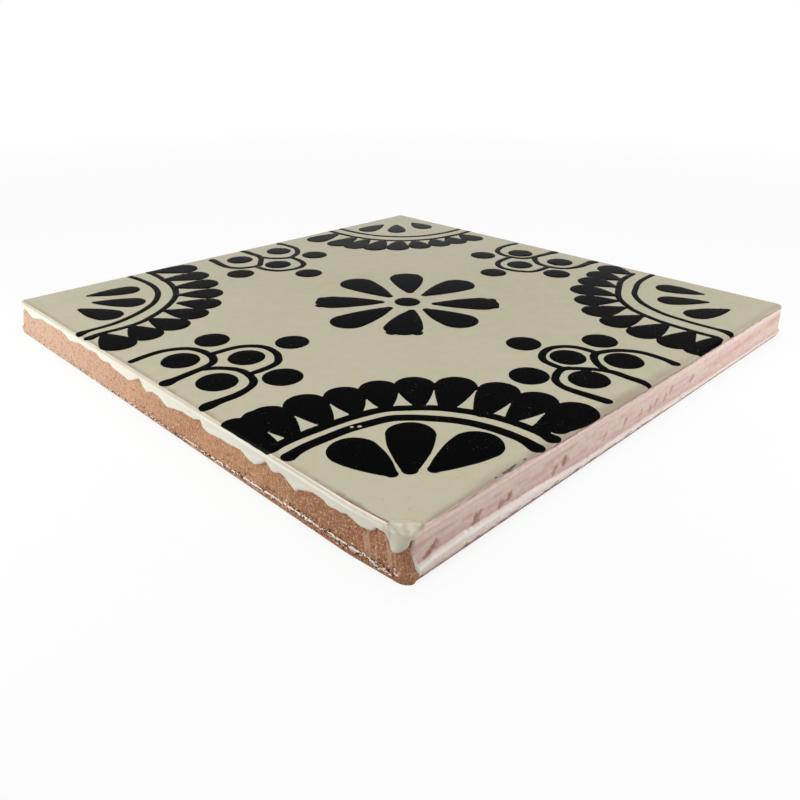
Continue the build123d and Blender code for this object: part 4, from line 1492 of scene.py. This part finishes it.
def scattered_lumps(name, where, material):
    """Small lumps joined in one piece. Each has its place, height, and half sizes along and up."""
    lump, lump_faces = unit_lump()
    points, faces = [], []
    for number, (place, height, long, tall) in enumerate(where):
        base, outward = LINE.at(np.array([place]))
        along = np.array([-outward[0, 1], outward[0, 0]])
        rough = 1 + LUMP_ROUGHNESS * smooth_noise(lump * 1.7 + number * 3.1, LUMP_SEED)
        local = lump * rough[:, None]
        out = crumb_out(height, place) + local[:, 1:2] * CRUMB_DEPTH
        flat = base[0] + outward[0] * out + along * local[:, 0:1] * long
        points.append(np.column_stack([flat, height + local[:, 2] * tall]))
        faces.append(lump_faces + number * len(lump))
    add_piece(name, np.vstack(points), np.vstack(faces).tolist(), material)


def crumb_out(height, place):
    """How far out the middle of a crumb is, sunk in the wall and kept inside the widest line."""
    wall = float(clay_out(np.array([height]), np.array([place]))[0])
    return min(wall + CRUMB_OUT, CRUMB_LIMIT)


def crumb_line(place):
    """The height of the line of crumbs at a place, and how thickly they lie there."""
    y = LINE.at(np.array([place]))[0][0, 1]
    return (float(read_table(CRUMB_LINE, y, column)) for column in (1, 2))


def build_crumbs():
    """White crumbs on the crease of the -X wall, partly glaze and partly painted glints, dark grit beside them,
    and grit under the bead.
    """
    random = np.random.default_rng(52)
    # The white crumbs are partly crumbs of glaze and partly painted glints on the crease and the foot
    white = plain_finish("white_crumb_and_glint", "#FFFCF6", "#EFE4DA", 0.5, 0.35)
    brown = plain_finish("burnt_clay_grit", "#4A2A1E", "#7C4936", 0.3, 0.85)
    start, end = float(LINE.left(CRUMBS_FROM)), LINE.length + LINE.nose - CRUMBS_END
    crumbs, grit, foot = [], [], []
    place = start
    while place < end:
        line, thick = crumb_line(place)
        beside = float(smoothstep(end - 5, end - 2.5, place))
        place += random.exponential(0.85 - 0.65 * thick)
        long = random.uniform(0.08, 0.18 + 0.32 * thick ** 2)
        height = line - 0.35 * beside + random.normal(0, 0.04 + 0.14 * beside)
        tall = random.uniform(0.05 + 0.06 * thick, 0.08 + 0.08 * thick)
        is_white = random.random() < 0.3 + 0.6 * thick
        (crumbs if is_white else grit).append((place, height, long, tall))
    for _ in range(2 * FOOT_GRIT):
        place = start + (end - start) * random.random() ** 0.5
        line, _ = crumb_line(place)
        height = max(0.25, line - 0.12 + random.normal(0, 0.22))
        size = random.uniform(0.05, 0.13)
        is_white = random.random() < 0.4
        (crumbs if is_white else grit).append((place, height, 1.4 * size, size))
    for _ in range(FOOT_GRIT):
        place = start + (end - start) * random.random() ** 0.6
        height = random.uniform(0.35, 1.3)
        size = random.uniform(0.05, 0.12)
        grit.append((place, height, 1.8 * size, size))
    scattered_lumps("crumbs_and_glints", crumbs, white)
    place = LINE.nose + 2.0
    while place < LINE.front_end:
        step, height, size = (random.uniform(*ends) for ends in BEAD_GRIT)
        place += step
        foot.append((place, height, 2.5 * size, size))
    scattered_lumps("clay_grit", grit + foot, brown)


# Stage

# The camera stands at the photograph's viewing angle, close to the tile and low over its front corner
CAMERA_AZIMUTH = -45.279   # degrees
CAMERA_ELEVATION = 26.957
CAMERA_ROLL = 0.393
CAMERA_DISTANCE = 104.40   # from the camera to its target
CAMERA_TARGET = (-29.50, -28.91, 6.2)
CAMERA_LENS = 33.20
CAMERA_SENSOR = 36.0

# Soft boxes in a ring over the tile, out of its mirrored view from above and from the side
RING_OUT = 230
RING_HEIGHT = 400
RING_SIZE = 220
RING_POWERS = (0.56, 0.56, 0.51, 0.51)    # towards +X, +Y, -X and -Y
# Two upright soft boxes beside the two seen walls: place, what they point at, and power in watts
SIDE_BOXES = [
    ("left_box", (-130, 45, 30), (-52, 25, 3), 0.068), ("right_box", (45, -130, 30), (25, -52, 3), 0.05)]
SIDE_SIZE = 80
ROOM_LIGHT = 0.06          # even light of the studio around, as a strength
WHITE_UP_TO = 0.28         # sine of the height up to which mirrored rays see the white backdrop
PAPER_GLOW = 0.86          # share of plain white in the floor near the tile, as the camera sees it
PAPER_NEAR = 0.12          # metres from the middle, out to where the floor is plain white
PAPER_FAR = 0.35
PAPER_HALF = 3.0           # metres from the middle to the floor's edge
CLIP_START = 0.001         # metres


def camera_axes():
    """The camera's right, up and back directions."""
    azimuth, elevation, roll = (radians(a) for a in (CAMERA_AZIMUTH, CAMERA_ELEVATION, CAMERA_ROLL))
    back = Vector((sin(azimuth) * cos(elevation), -cos(azimuth) * cos(elevation), sin(elevation)))
    right = (-back).cross(Vector((0, 0, 1))).normalized()
    up = right.cross(-back)
    return cos(roll) * right + sin(roll) * up, cos(roll) * up - sin(roll) * right, back


def build_camera():
    """The camera, at the photograph's viewing angle."""
    data = bpy.data.cameras.new("camera")
    data.sensor_width = CAMERA_SENSOR
    data.lens = CAMERA_LENS
    data.clip_start = CLIP_START
    camera = bpy.data.objects.new("camera", data)
    right, up, back = camera_axes()
    turn = Matrix((right, up, back)).transposed().to_4x4()
    eye = (Vector(CAMERA_TARGET) + back * CAMERA_DISTANCE) * MM
    camera.matrix_world = Matrix.Translation(eye) @ turn
    bpy.context.scene.collection.objects.link(camera)
    bpy.context.scene.camera = camera


def add_soft_box(name, place, target, size, power):
    """A square soft box, with places and sizes in millimetres and power in watts."""
    data = bpy.data.lights.new(name, "AREA")
    data.shape = "SQUARE"
    data.size = size * MM
    data.energy = power
    light = bpy.data.objects.new(name, data)
    light.location = Vector(place) * MM
    light.rotation_euler = (Vector(target) - Vector(place)).to_track_quat("-Z", "Y").to_euler()
    light.visible_camera = False
    bpy.context.scene.collection.objects.link(light)


def build_lights():
    """A ring of soft boxes overhead, and one beside the far end of each seen wall."""
    for number, power in enumerate(RING_POWERS):
        angle = number * pi / 2
        place = (RING_OUT * cos(angle), RING_OUT * sin(angle), RING_HEIGHT)
        add_soft_box(f"ring_box_{number}", place, (0, 0, 0), RING_SIZE, power)
    for name, place, target, power in SIDE_BOXES:
        add_soft_box(name, place, target, SIDE_SIZE, power)


def seen_rays(owner):
    """1 for camera rays, and 1 for glossy and transmission rays, which show the background as well."""
    path = add_node(owner, "ShaderNodeLightPath").outputs
    bounced = add_node(owner, "ShaderNodeMath", {
        0: path["Is Glossy Ray"], 1: path["Is Transmission Ray"]}, operation="MAXIMUM")
    return path["Is Camera Ray"], bounced.outputs[0]


def build_world():
    """A white surround, behind the tile and mirrored low in its glaze, under an even studio light."""
    world = bpy.data.worlds.new("white_surround")
    world.use_nodes = True
    world.node_tree.nodes.clear()
    place = add_node(world, "ShaderNodeTexCoord").outputs["Generated"]
    height = add_node(world, "ShaderNodeSeparateXYZ", {"Vector": place}).outputs["Z"]
    low = add_node(world, "ShaderNodeMapRange", {
        "Value": height, "From Min": WHITE_UP_TO, "From Max": WHITE_UP_TO / 2},
        interpolation_type="SMOOTHSTEP")
    camera, bounced = seen_rays(world)
    mirrored = add_node(world, "ShaderNodeMath", {0: bounced, 1: low.outputs["Result"]}, operation="MULTIPLY")
    share = add_node(world, "ShaderNodeMath", {0: camera, 1: mirrored.outputs[0]}, operation="MAXIMUM")
    room = add_node(world, "ShaderNodeBackground", {"Color": (1, 1, 1, 1), "Strength": ROOM_LIGHT})
    white = add_node(world, "ShaderNodeBackground", {"Color": (1, 1, 1, 1), "Strength": 1.0})
    mix = add_node(world, "ShaderNodeMixShader", {
        0: share.outputs[0], 1: room.outputs[0], 2: white.outputs[0]})
    add_node(world, "ShaderNodeOutputWorld", {"Surface": mix.outputs[0]})
    bpy.context.scene.world = world


def build_floor():
    """A plain floor of white paper that keeps the tile's shadow."""
    mesh = bpy.data.meshes.new("floor")
    corners = [(-1, -1), (1, -1), (1, 1), (-1, 1)]
    mesh.from_pydata([(x * PAPER_HALF, y * PAPER_HALF, 0) for x, y in corners], [], [(0, 1, 2, 3)])
    floor = bpy.data.objects.new("floor", mesh)
    bpy.context.scene.collection.objects.link(floor)
    material, place = new_material("white_paper")
    away = add_node(material, "ShaderNodeVectorMath", {0: place}, operation="LENGTH").outputs["Value"]
    glow_share = add_node(material, "ShaderNodeMapRange", {
        "Value": away, "From Min": PAPER_NEAR, "From Max": PAPER_FAR, "To Min": PAPER_GLOW, "To Max": 1.0},
        interpolation_type="SMOOTHSTEP").outputs["Result"]
    camera, bounced = seen_rays(material)
    seen = add_node(material, "ShaderNodeMath", {0: camera, 1: bounced}, operation="MAXIMUM").outputs[0]
    share = add_node(material, "ShaderNodeMath", {0: seen, 1: glow_share}, operation="MULTIPLY").outputs[0]
    paper = add_node(material, "ShaderNodeBsdfDiffuse", {"Color": linear("#EFEFEE")})
    glow = add_node(material, "ShaderNodeEmission", {"Color": (1, 1, 1, 1), "Strength": 1.0})
    mix = add_node(material, "ShaderNodeMixShader", {0: share, 1: paper.outputs[0], 2: glow.outputs[0]})
    add_node(material, "ShaderNodeOutputMaterial", {"Surface": mix.outputs[0]})
    mesh.materials.append(material)


# Operators

class TILE_OT_clay_body(bpy.types.Operator):
    """Make the fired clay body"""
    bl_idname = "tile.clay_body"
    bl_label = "Clay Body"

    def execute(self, context):
        build_clay(context.scene.tile_sizes, context.scene.tile_colours)
        return {"FINISHED"}


class TILE_OT_cream_glaze(bpy.types.Operator):
    """Pour the cream glaze over the face, with its runs and the corner drop"""
    bl_idname = "tile.cream_glaze"
    bl_label = "Cream Glaze"

    def execute(self, context):
        build_cream_glaze(context.scene.tile_sizes, context.scene.tile_colours)
        return {"FINISHED"}


class TILE_OT_wall_glaze(bpy.types.Operator):
    """Lay the thin glaze on the -Y wall, with its bead"""
    bl_idname = "tile.wall_glaze"
    bl_label = "Wall Glaze"

    def execute(self, context):
        build_wall_glaze(context.scene.tile_sizes, context.scene.tile_colours)
        return {"FINISHED"}


class TILE_OT_ornament(bpy.types.Operator):
    """Paint the daisy, the medallions and the clusters of dots"""
    bl_idname = "tile.ornament"
    bl_label = "Painted Ornament"

    def execute(self, context):
        sizes = context.scene.tile_sizes
        black = painted_black_glaze(context.scene.tile_colours)
        painted_film("painted_daisy", daisy_marks(), black, sizes)
        for name, rings, petals, tears, gaps in (
                ("sw", SW_RINGS, SW_PETALS, SW_TEARS, SW_GAPS), ("se", SE_RINGS, SE_PETALS, SE_TEARS, ()),
                ("nw", NW_RINGS, NW_PETALS, NW_TEARS, ()), ("ne", NE_RINGS, NE_PETALS, NE_TEARS, ())):
            marks = medallion_marks(rings, petals, tears)
            painted_film(f"painted_medallion_{name}", marks, black, sizes, gaps)
        north_arches = [NORTH_ARCH] + shifted(SOUTH_ARCHES[1:], (1, -1), NORTH_SHIFT)
        for name, dots, arches in (
                ("west", WEST_DOTS, WEST_ARCHES), ("south", SOUTH_DOTS, SOUTH_ARCHES),
                ("east", EAST_DOTS, shifted(WEST_ARCHES, (-1, 1), EAST_SHIFT)),
                ("north", NORTH_DOTS, north_arches)):
            painted_film(f"painted_dots_{name}", cluster_marks(dots, arches), black, sizes)
        grey = plain_finish("rubbed_black_smear", "#5A544E", "#3B3733", 0.6, 0.4)
        painted_film("painted_smears", [drop_mark(*smear) for smear in SMEARS], grey, sizes)
        return {"FINISHED"}


class TILE_OT_crumbs(bpy.types.Operator):
    """Scatter white crumbs, partly glaze and partly painted glints, and grit along the foot of the walls"""
    bl_idname = "tile.crumbs"
    bl_label = "Crumbs and Grit"

    def execute(self, context):
        build_crumbs()
        return {"FINISHED"}


class TILE_OT_stage(bpy.types.Operator):
    """Set up the floor, the surround, the soft boxes and the camera"""
    bl_idname = "tile.stage"
    bl_label = "Stage"

    def execute(self, context):
        build_floor()
        build_world()
        build_lights()
        build_camera()
        return {"FINISHED"}


class TILE_PT_panel(bpy.types.Panel):
    """The tile's sizes, colours and steps"""
    bl_idname = "TILE_PT_panel"
    bl_label = "Talavera Tile"
    bl_space_type = "VIEW_3D"
    bl_region_type = "UI"
    bl_category = "Tile"

    def draw(self, context):
        for group in (context.scene.tile_sizes, context.scene.tile_colours):
            for key in group.__annotations__:
                self.layout.prop(group, key)
        for step in STEPS:
            self.layout.operator(step.bl_idname)


STEPS = (TILE_OT_clay_body, TILE_OT_cream_glaze, TILE_OT_wall_glaze, TILE_OT_ornament, TILE_OT_crumbs,
         TILE_OT_stage)
CLASSES = (TileSizes, TileColours) + STEPS + (TILE_PT_panel,)


def register():
    for each in CLASSES:
        bpy.utils.register_class(each)
    bpy.types.Scene.tile_sizes = bpy.props.PointerProperty(type=TileSizes)
    bpy.types.Scene.tile_colours = bpy.props.PointerProperty(type=TileColours)


def unregister():
    del bpy.types.Scene.tile_sizes
    del bpy.types.Scene.tile_colours
    for each in reversed(CLASSES):
        bpy.utils.unregister_class(each)


def main():
    """Builds the whole tile and its stage."""
    register()
    bpy.context.scene.view_settings.view_transform = "Standard"
    bpy.ops.tile.clay_body()
    bpy.ops.tile.cream_glaze()
    bpy.ops.tile.wall_glaze()
    bpy.ops.tile.ornament()
    bpy.ops.tile.crumbs()
    bpy.ops.tile.stage()


if __name__ == "__main__":
    main()
